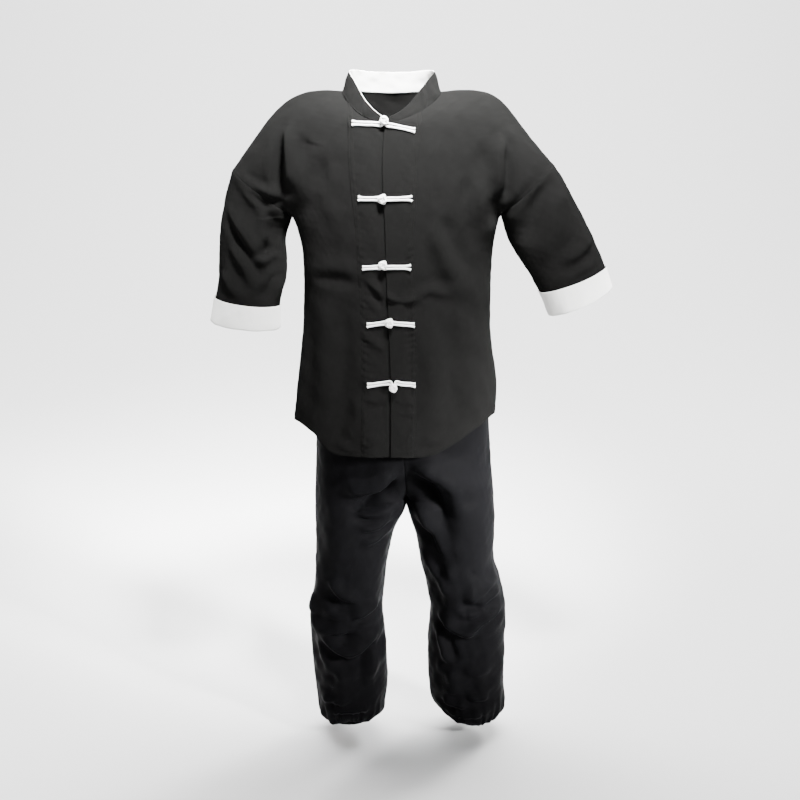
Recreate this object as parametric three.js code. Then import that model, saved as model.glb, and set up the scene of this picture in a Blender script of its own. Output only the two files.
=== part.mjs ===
// A tai chi uniform, filled out with no wearer: a jacket with a stand collar, five knotted frog
// closures and white turned-back sleeve ends, over full trousers gathered at the ankles.
// Millimetres, +Z up. The front faces -Y and +X is the wearer's left.
// The origin is the centre of the neck's base, level with the shoulders.

import * as THREE from "three";

// Cloth and clearances
const WALL = 1.2; // thickness of one layer of cloth
const SEAM_GAP = 0.3; // left between pieces that meet at a seam
const LAY_GAP = 0.3; // left between a piece and what lies on it
const BAND_WALL = 1.0; // the stitched front bands
const CASING_WALL = 2.4; // elastic casings at the waist and ankles
const CUFF_WALL = 1.2;
const CUFF_HEIGHT = 48;
const COLLAR_WALL = 1.2;
const COLLAR_LIFT = 1.0; // between the neck seam and the collar, whose pieces meet at an angle
const LINING_WALL = 1.0;
const LINING_RISE = 1.5; // how far the white lining stands above the black collar
const UNDERLAP = 22; // how far the right front runs on under the left front
const UNDERLAP_DROP = 3.4; // how far the right front lies under the left front there
const UNDER_EDGE = 4; // how far beyond the left front's edge it is still that low
const UNDER_CORNER = [-8, 1, -12]; // its top corner is cut back, below the collar

// How many rows and columns the cloth is worked out in
const ROWS_BELOW = 14; // jacket rows from the hem to the armpit
const ROWS_ABOVE = 10; // jacket rows from the armpit to the shoulder line
const ROWS = ROWS_BELOW + ROWS_ABOVE; // rows of each front and of the back in all
const COLUMNS = 10; // from the front edge to the side seam
const NECK_ROW = 6; // the row above the armpit that starts at the foot of the neck opening
const BAND_ROWS = ROWS_BELOW + 8; // the front bands end at this row, under the collar
const BACK_NECK_COLUMNS = 3; // columns of the back that end on half of the neck seam
const LEG_COLUMNS = 8;
const SEAT_ROWS = 8; // trouser rows from the waist to the crotch
const LEG_ROWS = 12; // trouser rows from the crotch to the ankle
const CURVE_STEPS = 60; // steps in which a row's length is measured

// Colours
const BLACK = 0x1d1c1a;
const TROUSER_BLACK = 0x15161b;
const WHITE = 0xf2f2f0;
const CLOTH_ROUGHNESS = 0.85;

// Jacket sides: x of each side seam at a height, and how far front and back stand off
const BODY = [
  { z: -740, right: -217, left: 224, front: 140, back: 134 },
  { z: -674, right: -214, left: 222, front: 136, back: 130 },
  { z: -619, right: -208, left: 227, front: 131, back: 126 },
  { z: -565, right: -203, left: 222, front: 127, back: 121 },
  { z: -512, right: -195, left: 211, front: 125, back: 112 },
  { z: -428, right: -189, left: 209, front: 123, back: 104 },
  { z: -342, right: -188, left: 211, front: 124, back: 106 },
  { z: -290, right: -189, left: 214, front: 124, back: 111 },
  { z: -236, right: -205, left: 224, front: 122, back: 116 },
];

// Where the row that ends at the armpit starts on the centre front and the centre back
const FRONT_TOP_Z = -246;
const BACK_TOP_Z = -240;

// The line down the centre front, from the hem to the foot of the neck opening
const FRONT_LINE = [
  { z: -740, x: -3, y: -140 },
  { z: -574, x: -3, y: -128 },
  { z: -447, x: -7, y: -123 },
  { z: -332, x: -12, y: -124 },
  { z: -246, x: -14, y: -122 },
  { z: -171, x: -18, y: -119 },
  { z: -110, x: -19, y: -108 },
  { z: -42, x: -14, y: -88 },
];

// The line down the centre back, from the hem to the neck seam
const BACK_LINE = [
  { z: -740, x: 5, y: 134 },
  { z: -565, x: 8, y: 121 },
  { z: -428, x: 9, y: 104 },
  { z: -342, x: 9, y: 106 },
  { z: -236, x: 8, y: 116 },
  { z: -130, x: 5, y: 117 },
  { z: -50, x: 2, y: 98 },
  { z: 10, x: 1, y: 74 },
];

// The neck seam from the foot of the opening round to the centre back
const NECK_FOOT_Z = -42;
const NECK_RIGHT = [
  { step: 0, x: -14, y: -88, z: NECK_FOOT_Z },
  { step: 1, x: -44, y: -78, z: -36 },
  { step: 2, x: -73, y: -58, z: -21 },
  { step: 3, x: -93, y: -27, z: 3 },
  { step: 4, x: -102, y: 4, z: 17 },
  { step: 5, x: -87, y: 44, z: 17 },
  { step: 6, x: -49, y: 68, z: 12 },
  { step: 7, x: 1, y: 74, z: 10 },
];
const NECK_LEFT = [
  { step: 0, x: -14, y: -88, z: NECK_FOOT_Z },
  { step: 1, x: 22, y: -78, z: -38 },
  { step: 2, x: 60, y: -58, z: -21 },
  { step: 3, x: 88, y: -28, z: 3 },
  { step: 4, x: 100, y: 4, z: 16 },
  { step: 5, x: 86, y: 44, z: 17 },
  { step: 6, x: 50, y: 68, z: 12 },
  { step: 7, x: 1, y: 74, z: 10 },
];

// How far the hem rises above its lowest line, by the share of the way round to the side seam
const HEM_Z = -728;
const HEM_RISE = {
  right: [
    { share: 0, rise: 0 },
    { share: 0.42, rise: 1 },
    { share: 0.52, rise: 14 },
    { share: 0.62, rise: 40 },
    { share: 0.82, rise: 52 },
    { share: 1, rise: 45 },
  ],
  left: [
    { share: 0, rise: 0 },
    { share: 0.28, rise: 1 },
    { share: 0.46, rise: 22 },
    { share: 0.62, rise: 44 },
    { share: 0.82, rise: 60 },
    { share: 1, rise: 61 },
  ],
  back: [
    { share: 0, rise: 2 },
    { share: 0.5, rise: -12 },
    { share: 0.8, rise: -6 },
    { share: 1, rise: 0 },
  ],
};

// Sleeves: rings along the arm, each from its outer to its inner edge as seen from the front,
// with its middle's y and half its depth. The first ring is the seam on the upper arm.
const SLEEVES = {
  right: [
    { outerX: -332, outerZ: -142, innerX: -208, innerZ: -236, y: 0, depth: 66 },
    { outerX: -351, outerZ: -206, innerX: -217, innerZ: -259, y: -4, depth: 66 },
    { outerX: -361, outerZ: -262, innerX: -224, innerZ: -283, y: -10, depth: 65 },
    { outerX: -363, outerZ: -312, innerX: -223, innerZ: -322, y: -18, depth: 64 },
    { outerX: -364, outerZ: -356, innerX: -224, innerZ: -364, y: -26, depth: 63 },
    { outerX: -372, outerZ: -401, innerX: -237, innerZ: -418, y: -33, depth: 63 },
    { outerX: -382, outerZ: -452, innerX: -240, innerZ: -468, y: -40, depth: 63 },
  ],
  left: [
    { outerX: 334, outerZ: -130, innerX: 226, innerZ: -234, y: 0, depth: 66 },
    { outerX: 371, outerZ: -188, innerX: 240, innerZ: -274, y: -3, depth: 67 },
    { outerX: 400, outerZ: -240, innerX: 256, innerZ: -310, y: -7, depth: 67 },
    { outerX: 425, outerZ: -290, innerX: 280, innerZ: -345, y: -11, depth: 66 },
    { outerX: 443, outerZ: -330, innerX: 303, innerZ: -382, y: -15, depth: 65 },
    { outerX: 452, outerZ: -356, innerX: 319, innerZ: -412, y: -18, depth: 64 },
    { outerX: 461, outerZ: -384, innerX: 333, innerZ: -444, y: -21, depth: 64 },
  ],
};
const SLEEVE_RINGS = 8; // rings worked out along each sleeve

// Handles of the curves that run from the neck and chest to the sleeve seam
const ARMPIT_START = 0.9; // share of the height to the armpit at which the side turns out to it
const SHOULDER_RISE = 0.12; // how far a row's handle at the neck rises, for its length
const ROUNDNESS = 0.6; // share of a half width that a body row runs straight on
const SHOULDER_REACH = [
  { share: 0, rightBody: 115, rightArm: 60, leftBody: 115, leftArm: 60 },
  { share: 0.4, rightBody: 120, rightArm: 95, leftBody: 122, leftArm: 96 },
  { share: 0.7, rightBody: 114, rightArm: 118, leftBody: 124, leftArm: 128 },
  { share: 1, rightBody: 124, rightArm: 142, leftBody: 146, leftArm: 164 },
];

const BACK_FULLNESS = 0.35; // how much further the back runs straight across the shoulder blades
const NECK_PULL = 5; // the higher, the closer to the seam the back keeps its full width

// Collar height by neck step, and how it leans in
const COLLAR = [
  { step: 0, height: 11, lean: 0.3 },
  { step: 1, height: 23, lean: 0.42 },
  { step: 2, height: 35, lean: 0.46 },
  { step: 3, height: 39, lean: 0.42 },
  { step: 4, height: 40, lean: 0.34 },
  { step: 5, height: 41, lean: 0.26 },
  { step: 6, height: 41, lean: 0.2 },
  { step: 7, height: 41, lean: 0.18 },
];

// Frog closures: height of each, where its cords end, where its knot is, how far the knot stands
// above its cords or hangs below them, how the cords slope, and the knot's size
const FROGS = [
  { z: -44, right: -80, left: 46, knotX: -16, knotRise: 8, slopeRight: 2, slopeLeft: -12, size: 19 },
  { z: -189, right: -68, left: 40, knotX: -19, knotRise: 0, slopeRight: 1, slopeLeft: 1, size: 18 },
  { z: -326, right: -60, left: 38, knotX: -18, knotRise: 4, slopeRight: -2, slopeLeft: -1, size: 17 },
  { z: -442, right: -52, left: 46, knotX: -6, knotRise: 0, slopeRight: -5, slopeLeft: -5, size: 18 },
  { z: -568, right: -52, left: 48, knotX: 2, knotRise: -10, slopeRight: -6, slopeLeft: -6, size: 18 },
];
const CORD_RADIUS = 2.3;
const CORD_SIDES = 5;
const CORD_STEPS = 12;
const KNOT_SIDES = 12;
const KNOT_RINGS = 8;
const KNOT_DEPTH = 0.75; // a knot's depth and height, as shares of its width
const KNOT_TALL = 1.05;
const CORD_LIFT = 0.9;
const SEAT_GAP = 0.6; // between a frog and the cloth under it
const FROG_BAND = 7; // heights above and below a frog at which the cloth under it is felt

// Trousers: the seam through the crotch, front and back, from the waist down
const WAIST_Z = -452;
const CROTCH_STEPS = 10;
const CROTCH_FRONT = [
  { step: 0, y: -96, z: WAIST_Z },
  { step: 2, y: -110, z: -548 },
  { step: 4, y: -116, z: -650 },
  { step: 6, y: -112, z: -738 },
  { step: 7, y: -99, z: -782 },
  { step: 8, y: -76, z: -822 },
  { step: 9, y: -42, z: -848 },
  { step: 10, y: 0, z: -858 },
];
const CROTCH_BACK = [
  { step: 0, y: 84, z: WAIST_Z },
  { step: 2, y: 103, z: -548 },
  { step: 3, y: 122.9, z: -598 },
  { step: 4, y: 124.7, z: -650 },
  { step: 6, y: 114, z: -738 },
  { step: 7, y: 100, z: -782 },
  { step: 8, y: 76, z: -822 },
  { step: 9, y: 42, z: -848 },
  { step: 10, y: 0, z: -858 },
];
const CROTCH_X = [
  { z: -860, x: 31 },
  { z: -700, x: 22 },
  { z: WAIST_Z, x: 12 },
];

// Trouser legs: inner and outer edge at a height, the middle's y, and how far front and back stand off
const LEGS = {
  right: [
    { z: -452, outer: -138, inner: 12, y: 0, front: 100, back: 88 },
    { z: -560, outer: -170, inner: 16, y: 0, front: 112, back: 108 },
    { z: -701, outer: -168, inner: 22, y: 0, front: 108, back: 108 },
    { z: -880, outer: -173, inner: 30, y: 0, front: 103, back: 101 },
    { z: -926, outer: -172, inner: 7, y: 0, front: 100, back: 98 },
    { z: -1013, outer: -174, inner: -12, y: -3, front: 94, back: 90 },
    { z: -1071, outer: -178, inner: -18, y: -6, front: 92, back: 86 },
    { z: -1131, outer: -190, inner: -24, y: -5, front: 90, back: 84 },
    { z: -1191, outer: -188, inner: -18, y: 0, front: 84, back: 84 },
    { z: -1312, outer: -181, inner: -13, y: 8, front: 80, back: 82 },
    { z: -1368, outer: -176, inner: -20, y: 10, front: 78, back: 80 },
    { z: -1396, outer: -171, inner: -30, y: 11, front: 68, back: 70 },
    { z: -1410, outer: -153, inner: -51, y: 12, front: 51, back: 51 },
  ],
  left: [
    { z: -452, outer: 162, inner: 12, y: 0, front: 100, back: 88 },
    { z: -560, outer: 203, inner: 16, y: 0, front: 112, back: 108 },
    { z: -701, outer: 212, inner: 22, y: 0, front: 108, back: 108 },
    { z: -880, outer: 225, inner: 30, y: 0, front: 103, back: 101 },
    { z: -926, outer: 227, inner: 47, y: 0, front: 100, back: 98 },
    { z: -1013, outer: 229, inner: 63, y: -3, front: 94, back: 90 },
    { z: -1071, outer: 246, inner: 76, y: -6, front: 92, back: 86 },
    { z: -1131, outer: 255, inner: 87, y: -5, front: 90, back: 84 },
    { z: -1191, outer: 255, inner: 81, y: 0, front: 84, back: 84 },
    { z: -1312, outer: 257, inner: 83, y: 8, front: 80, back: 82 },
    { z: -1368, outer: 260, inner: 95, y: 10, front: 78, back: 80 },
    { z: -1396, outer: 252, inner: 116, y: 11, front: 68, back: 70 },
    { z: -1410, outer: 234, inner: 134, y: 12, front: 51, back: 51 },
  ],
};
const CROTCH_Z = -858; // where the seam through the crotch meets the inside legs
const SIDE_CROTCH_Z = -872; // where the row that starts there reaches the side seam
const ANKLE_Z = -1410;
const TROUSER_ROWS = SEAT_ROWS + LEG_ROWS;
const HALF_RING_REACH = 4 / 3; // handle of a curve that runs half way round a leg
const ANKLE_CROWDING = 0.35; // how much closer together the rows lie towards the ankle
const WAISTBAND_HEIGHT = 38;
const WAISTBAND_GROWTH = 0.6; // how far the waistband stands out beyond the panels' ends
const ANKLE_CASING_DROP = 2; // how far the ankle casings reach below the panels' ends
const ANKLE_CASING_HEIGHT = 20;

// The largest folds: a soft ridge (plus) or trough (minus) along a line seen from the front or back
const JACKET_FRONT_FOLDS = [
  { fromX: -214, fromZ: -50, toX: -218, toZ: -200, height: 8, width: 20 },
  { fromX: -176, fromZ: -60, toX: -180, toZ: -190, height: -5, width: 20 },
  { fromX: 222, fromZ: -70, toX: 224, toZ: -205, height: 8, width: 20 },
  { fromX: 184, fromZ: -80, toX: 187, toZ: -210, height: -5, width: 20 },
  { fromX: 100, fromZ: -150, toX: 104, toZ: -330, height: 4, width: 20 },
  { fromX: -150, fromZ: -430, toX: -150, toZ: -690, height: 5, width: 24 },
  { fromX: 140, fromZ: -470, toX: 150, toZ: -660, height: 5, width: 24 },
  { fromX: -110, fromZ: -520, toX: -112, toZ: -700, height: -4, width: 18 },
];
const JACKET_BACK_FOLDS = [
  { fromX: -190, fromZ: -80, toX: -180, toZ: -240, height: 6, width: 16 },
  { fromX: 196, fromZ: -80, toX: 188, toZ: -240, height: 6, width: 16 },
  { fromX: -90, fromZ: -480, toX: -110, toZ: -700, height: 5, width: 26 },
  { fromX: 110, fromZ: -500, toX: 130, toZ: -700, height: 5, width: 26 },
  { fromX: -60, fromZ: -300, toX: 70, toZ: -330, height: -3, width: 20 },
];
const TROUSER_FRONT_FOLDS = [
  { fromX: -145, fromZ: -1130, toX: -100, toZ: -1230, height: 5, width: 16 },
  { fromX: -30, fromZ: -1130, toX: -100, toZ: -1230, height: 5, width: 16 },
  { fromX: 110, fromZ: -1110, toX: 210, toZ: -1060, height: 5, width: 16 },
  { fromX: -60, fromZ: -980, toX: 0, toZ: -880, height: -5, width: 16 },
  { fromX: 110, fromZ: -980, toX: 50, toZ: -880, height: -5, width: 16 },
  { fromX: -110, fromZ: -1300, toX: -120, toZ: -1390, height: 4, width: 16 },
  { fromX: 200, fromZ: -1290, toX: 205, toZ: -1390, height: 4, width: 16 },
];
const TROUSER_BACK_FOLDS = [
  { fromX: -140, fromZ: -1080, toX: -60, toZ: -1110, height: -5, width: 18 },
  { fromX: 200, fromZ: -1080, toX: 120, toZ: -1110, height: -5, width: 18 },
  { fromX: -90, fromZ: -900, toX: -110, toZ: -1000, height: 4, width: 22 },
  { fromX: 140, fromZ: -900, toX: 150, toZ: -1000, height: 4, width: 22 },
];

// Points as [x, y, z]
const add = (a, b, times = 1) => a.map((value, axis) => value + b[axis] * times);
const minus = (a, b) => add(a, b, -1);
const scaled = (a, times) => a.map((value) => value * times);
const mixed = (a, b, share) => a.map((value, axis) => value + (b[axis] - value) * share);
const dot = (a, b) => a[0] * b[0] + a[1] * b[1] + a[2] * b[2];
const unit = (a) => scaled(a, 1 / Math.hypot(...a));
const cross = (a, b) => [
  a[1] * b[2] - a[2] * b[1],
  a[2] * b[0] - a[0] * b[2],
  a[0] * b[1] - a[1] * b[0],
];
const between = (value, low, high) => Math.min(high, Math.max(low, value));
const smooth = (share) => {
  const held = between(share, 0, 1);
  return held * held * (3 - 2 * held);
};

// One column of a table at a place, on a smooth curve through the table's rows
function read(table, key, column, place) {
  const rows = table[0][key] < table[table.length - 1][key] ? table : [...table].reverse();
  const held = between(place, rows[0][key], rows[rows.length - 1][key]);
  let low = 0;
  while (low < rows.length - 2 && held > rows[low + 1][key]) low += 1;
  const slope = (row) => {
    const before = rows[Math.max(row - 1, 0)];
    const after = rows[Math.min(row + 1, rows.length - 1)];
    return (after[column] - before[column]) / (after[key] - before[key]);
  };
  const span = rows[low + 1][key] - rows[low][key];
  const t = (held - rows[low][key]) / span;
  const start = rows[low][column];
  const end = rows[low + 1][column];
  return (
    start * (1 - t) * (1 - t) * (1 + 2 * t) +
    end * t * t * (3 - 2 * t) +
    slope(low) * span * t * (1 - t) * (1 - t) -
    slope(low + 1) * span * t * t * (1 - t)
  );
}

// A row of cloth: a curve from one point to another, leaving along the first handle and
// arriving against the second, cut at the given distances and then at even steps
function clothRow(start, leave, end, arrive, first, columns) {
  const curve = new THREE.CubicBezierCurve3(
    new THREE.Vector3(...start),
    new THREE.Vector3(...add(start, leave)),
    new THREE.Vector3(...add(end, arrive)),
    new THREE.Vector3(...end),
  );
  curve.arcLengthDivisions = CURVE_STEPS;
  const length = curve.getLength();
  const reached = first.length ? first[first.length - 1] : 0;
  const places = [0, ...first];
  for (let column = first.length + 1; column <= columns; column += 1) {
    const share = (column - first.length) / (columns - first.length);
    places.push(reached + (length - reached) * share);
  }
  return places.map((place) => curve.getPointAt(between(place / length, 0, 1)).toArray());
}

// The sleeve seam on the upper arm: a ring point by its angle from the armpit over the front or back
function ringFrame(side, ring) {
  const table = SLEEVES[side].map((row, index) => ({ ...row, index }));
  const at = (column) => read(table, "index", column, ring);
  const outer = [at("outerX"), at("y"), at("outerZ")];
  const inner = [at("innerX"), at("y"), at("innerZ")];
  const centre = mixed(inner, outer, 0.5);
  return { centre, reach: minus(outer, centre), depth: at("depth") };
}
function ringPoint(frame, angle, away) {
  const across = add(frame.centre, frame.reach, -Math.cos(angle));
  return add(across, [0, away * Math.sin(angle) * frame.depth, 0]);
}
function armDirection(side) {
  const here = ringFrame(side, 0);
  const { reach } = here;
  const turn = side === "right" ? 1 : -1;
  return unit([-reach[2] * turn, 0, reach[0] * turn]);
}

// One half of the jacket, front (away -1) or back (away 1), as rows of points from the hem up
function jacketRows(side, away, shoulder) {
  const sign = side === "right" ? -1 : 1;
  const front = away < 0;
  const neck = side === "right" ? NECK_RIGHT : NECK_LEFT;
  const hem = front ? HEM_RISE[side] : HEM_RISE.back;
  const line = front ? FRONT_LINE : BACK_LINE;
  const depthColumn = front ? "front" : "back";
  const seam = ringFrame(side, 0);
  const arm = armDirection(side);
  const armpit = ringPoint(seam, 0, away);
  const topZ = front ? FRONT_TOP_Z : BACK_TOP_Z;
  const columns = front ? COLUMNS : COLUMNS + BACK_NECK_COLUMNS;
  const sideHem = HEM_Z + HEM_RISE[side][HEM_RISE[side].length - 1].rise;
  const backShare = (share) => read(hem, "share", "rise", share) + (share * (sideHem - HEM_Z));
  const hemRise = (share) => (front ? read(hem, "share", "rise", share) : backShare(share));
  const rows = [];
  for (let row = 0; row <= ROWS; row += 1) {
    const up = row / ROWS_BELOW;
    const over = between((row - ROWS_BELOW) / ROWS_ABOVE, 0, 1);
    const below = row <= ROWS_BELOW;
    const startZ = below ? HEM_Z + (topZ - HEM_Z) * up : topZ;
    const endZ = below ? sideHem + (armpit[2] - sideHem) * up : armpit[2];
    const toArmpit = armpit[0] - read(BODY, "z", side, armpit[2]);
    const sideX = read(BODY, "z", side, endZ) + toArmpit * smooth((up - ARMPIT_START) / (1 - ARMPIT_START));
    let start = [read(line, "z", "x", startZ), read(line, "z", "y", startZ), startZ];
    let end = [sideX, 0, endZ];
    let leave = [sign * ROUNDNESS * Math.abs(sideX), 0, 0];
    let arrive = [0, away * ROUNDNESS * read(BODY, "z", depthColumn, endZ), 0];
    if (!below) {
      end = ringPoint(seam, Math.PI * over, away);
      const bodyReach = read(SHOULDER_REACH, "share", side + "Body", over);
      const armReach = read(SHOULDER_REACH, "share", side + "Arm", over);
      arrive = mixed(arrive, scaled(arm, -armReach), smooth(over / 0.45));
      leave = mixed(leave, [sign * bodyReach, 0, bodyReach * SHOULDER_RISE * over], smooth(over / 0.5));
      if (!front) {
        leave = scaled(leave, 1 + BACK_FULLNESS * smooth(over / 0.3));
        arrive = scaled(arrive, 1 - 0.5 * BACK_FULLNESS * smooth(over / 0.3));
      }
      start = front ? frontStart(line, neck, row - ROWS_BELOW, topZ) : backStart(line, over, topZ);
    }
    rows.push(clothRow(start, leave, end, arrive, firstColumns(side, front, row), columns));
    if (below)
      rows[row].forEach((point, column) => {
        const share = column / columns;
        const fade = (1 - up) * (1 - up);
        const level = startZ + (endZ - startZ) * share;
        const risen = HEM_Z + hemRise(share);
        const plain = HEM_Z + (sideHem - HEM_Z) * share;
        point[2] = level + (risen - plain) * fade;
      });
  }
  if (!front) followNeck(rows, neck, shoulder);
  return rows;
}
function frontStart(line, neck, step, topZ) {
  if (step <= NECK_ROW) {
    const foot = neck[0];
    const z = topZ + (foot.z - topZ) * (step / NECK_ROW);
    return [read(line, "z", "x", z), read(line, "z", "y", z), z];
  }
  const place = step - NECK_ROW;
  return ["x", "y", "z"].map((axis) => read(neck, "step", axis, place));
}
function backStart(line, over, topZ) {
  const top = line[line.length - 1].z;
  const z = topZ + (top - topZ) * over;
  return [read(line, "z", "x", z), read(line, "z", "y", z), z];
}

// Widths of the first columns, which carry the front bands and the underlap. Beside the neck
// they narrow with each row, down to a least width.
const NARROWER_EACH_ROW = 26;
const LEAST_FIRST_WIDTH = 14;
const BAND_RIGHT = [
  { z: -740, width: 63 },
  { z: -395, width: 58 },
  { z: -242, width: 61 },
  { z: -142, width: 66 },
  { z: -42, width: 74 },
];
const BAND_LEFT = [
  { z: -740, width: 51 },
  { z: -395, width: 57 },
  { z: -272, width: 58 },
  { z: -172, width: 68 },
  { z: -42, width: 74 },
];
function firstColumns(side, front, row) {
  if (!front) return [];
  const table = side === "right" ? BAND_RIGHT : BAND_LEFT;
  const z = HEM_Z + (row / (ROWS_BELOW + NECK_ROW)) * (NECK_FOOT_Z - HEM_Z);
  const full = read(table, "z", "width", z);
  const past = row - ROWS_BELOW - NECK_ROW;
  const width = past <= 0 ? full : Math.max(full - past * NARROWER_EACH_ROW, LEAST_FIRST_WIDTH);
  return side === "right" ? [UNDER_EDGE, width] : [width / 2, width];
}


// The back's top row runs along the neck seam and then along the shoulder line
function followNeck(rows, neck, shoulder) {
  const top = shoulder.map((point) => [...point]);
  for (let column = 0; column < BACK_NECK_COLUMNS; column += 1) {
    const step = 4 + column + 1;
    top.splice(0, 0, ["x", "y", "z"].map((axis) => read(neck, "step", axis, step)));
  }
  const plain = rows[ROWS].map((point) => [...point]);
  for (let row = ROWS_BELOW + 1; row <= ROWS; row += 1) {
    const weight = smooth((row - ROWS_BELOW) / ROWS_ABOVE) ** NECK_PULL;
    rows[row] = rows[row].map((point, column) => add(point, minus(top[column], plain[column]), weight));
  }
}

// Folds push the cloth out or in, and die out at the seams
function fold(rows, normals, folds, edgeFade) {
  const last = rows.length - 1;
  return rows.map((row, rowIndex) =>
    row.map((point, column) => {
      const fade = edgeFade(rowIndex / last, column / (row.length - 1));
      let push = 0;
      for (const crease of folds) {
        const alongX = crease.toX - crease.fromX;
        const alongZ = crease.toZ - crease.fromZ;
        const length = Math.hypot(alongX, alongZ);
        const fromX = point[0] - crease.fromX;
        const fromZ = point[2] - crease.fromZ;
        const along = (fromX * alongX + fromZ * alongZ) / length;
        const beyond = Math.max(0, -along, along - length);
        const off = (fromX * alongZ - fromZ * alongX) / length;
        push += crease.height * Math.exp(-((off / crease.width) ** 2) - (beyond / (2 * crease.width)) ** 2);
      }
      return add(point, normals[rowIndex][column], push * fade);
    }),
  );
}

// Outward normals of rows of points; outward is the side that the given test direction lies on
function normalsOf(rows, outward, wraps) {
  const last = rows.length - 1;
  return rows.map((row, rowIndex) =>
    row.map((point, column) => {
      const end = row.length - 1;
      const above = rows[Math.min(rowIndex + 1, last)][column];
      const below = rows[Math.max(rowIndex - 1, 0)][column];
      const next = row[wraps ? (column + 1) % row.length : Math.min(column + 1, end)];
      const before = row[wraps ? (column + end) % row.length : Math.max(column - 1, 0)];
      const normal = unit(cross(minus(next, before), minus(above, below)));
      return dot(normal, outward(point)) < 0 ? scaled(normal, -1) : normal;
    }),
  );
}

// A closed shell between two grids of points, open-ended or wrapped round
function shell(outer, inner, wraps = false) {
  const rowCount = outer.length;
  const columnCount = outer[0].length;
  const positions = [...outer, ...inner].flat(2);
  const at = (layer, row, column) =>
    (layer * rowCount + row) * columnCount + (wraps ? column % columnCount : column);
  const faces = [];
  const quad = (a, b, c, d) => faces.push(a, b, c, a, c, d);
  const spans = wraps ? columnCount : columnCount - 1;
  for (let row = 0; row < rowCount - 1; row += 1)
    for (let column = 0; column < spans; column += 1)
      for (const layer of [0, 1]) {
        const corners = [
          at(layer, row, column),
          at(layer, row, column + 1),
          at(layer, row + 1, column + 1),
          at(layer, row + 1, column),
        ];
        if (layer === 0) faces.push(corners[0], corners[1], corners[2], corners[0], corners[2], corners[3]);
        else faces.push(corners[0], corners[2], corners[1], corners[0], corners[3], corners[2]);
      }
  for (let column = 0; column < spans; column += 1) {
    const top = rowCount - 1;
    quad(at(1, 0, column), at(1, 0, column + 1), at(0, 0, column + 1), at(0, 0, column));
    quad(at(0, top, column), at(0, top, column + 1), at(1, top, column + 1), at(1, top, column));
  }
  if (!wraps)
    for (let row = 0; row < rowCount - 1; row += 1) {
      const end = columnCount - 1;
      quad(at(0, row, 0), at(0, row + 1, 0), at(1, row + 1, 0), at(1, row, 0));
      quad(at(1, row, end), at(1, row + 1, end), at(0, row + 1, end), at(0, row, end));
    }
  return solid(positions, faces);
}

// A geometry from points and faces, turned so that its faces point out
function solid(positions, faces) {
  const point = (index) => positions.slice(index * 3, index * 3 + 3);
  let volume = 0;
  for (let face = 0; face < faces.length; face += 3)
    volume += dot(point(faces[face]), cross(point(faces[face + 1]), point(faces[face + 2])));
  const turned = [...faces];
  if (volume < 0)
    for (let face = 0; face < faces.length; face += 3)
      [turned[face + 1], turned[face + 2]] = [turned[face + 2], turned[face + 1]];
  const geometry = new THREE.BufferGeometry();
  geometry.setAttribute("position", new THREE.Float32BufferAttribute(positions, 3));
  geometry.setIndex(turned);
  geometry.computeVertexNormals();
  return geometry;
}
const moved = (rows, normals, by) =>
  rows.map((row, rowIndex) => row.map((point, column) => add(point, normals[rowIndex][column], by)));

const uniform = new THREE.Group();
uniform.name = "tai_chi_uniform";
function piece(name, geometry, colour) {
  const material = new THREE.MeshStandardMaterial({
    color: colour,
    roughness: CLOTH_ROUGHNESS,
    metalness: 0,
    side: THREE.DoubleSide,
  });
  const mesh = new THREE.Mesh(geometry, material);
  mesh.name = name;
  uniform.add(mesh);
}

// Fronts, back and sleeves meet at seams: the same points, the same normals, half a gap each
const HALF_GAP = SEAM_GAP / 2;
const MIDDLE_X = 5; // the middle of the body, which outward normals point away from
const SHOULDER_TURN_Z = -60; // above this height outward is up as well
const fromAxis = (point) => [
  point[0] - MIDDLE_X,
  point[1] * 1.5,
  Math.max(point[2] - SHOULDER_TURN_Z, 0),
];
// Folds fade over a sixth or a fifth of a panel next to its seams
const jacketFade = (up, across) => smooth((1 - across) * 5) * smooth((1 - up) * 6) * smooth(across * 6 + 0.2);
const plainRows = {};
const plainNormals = {};
for (const side of ["right", "left"]) {
  const front = jacketRows(side, -1);
  const back = jacketRows(side, 1, front[ROWS]);
  const arm = armDirection(side);
  const seam = ringFrame(side, 0);
  const sideways = [side === "right" ? -1 : 1, 0, 0];
  const half = { front, back };
  for (const [name, rows] of Object.entries(half)) {
    const away = name === "front" ? -1 : 1;
    const end = rows[0].length - 1;
    const normals = normalsOf(rows, fromAxis, false);
    const folds = name === "front" ? JACKET_FRONT_FOLDS : JACKET_BACK_FOLDS;
    const folded = fold(rows, normals, folds, jacketFade);
    rows.forEach((row, index) => {
      const over = (index - ROWS_BELOW) / ROWS_ABOVE;
      const radial = unit(minus(ringPoint(seam, Math.PI * between(over, 0, 1), away), seam.centre));
      if (over <= 0) normals[index][end] = over < 0 ? sideways : unit([sideways[0] * 0.2, 0, -1]);
      else normals[index][end] = radial;
      const apart = over <= 0 ? [0, away * HALF_GAP, 0] : scaled(arm, -HALF_GAP);
      folded[index][end] = add(folded[index][end], apart);
      if (over === 0) folded[index][end] = add(folded[index][end], [0, 0, -HALF_GAP]);
    });
    const neckColumns = name === "front" ? 0 : BACK_NECK_COLUMNS;
    for (let column = neckColumns; column <= end; column += 1) {
      const before = rows[ROWS][Math.max(column - 1, neckColumns)];
      const next = rows[ROWS][Math.min(column + 1, end)];
      const along = minus(next, before);
      const up = unit([-along[2] * sideways[0], 0, along[0] * sideways[0]]);
      normals[ROWS][column] = up;
      folded[ROWS][column] = add(folded[ROWS][column], [0, away * HALF_GAP, 0]);
    }
    plainRows[name + "_" + side] = folded;
    plainNormals[name + "_" + side] = normals;
  }
}

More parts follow.
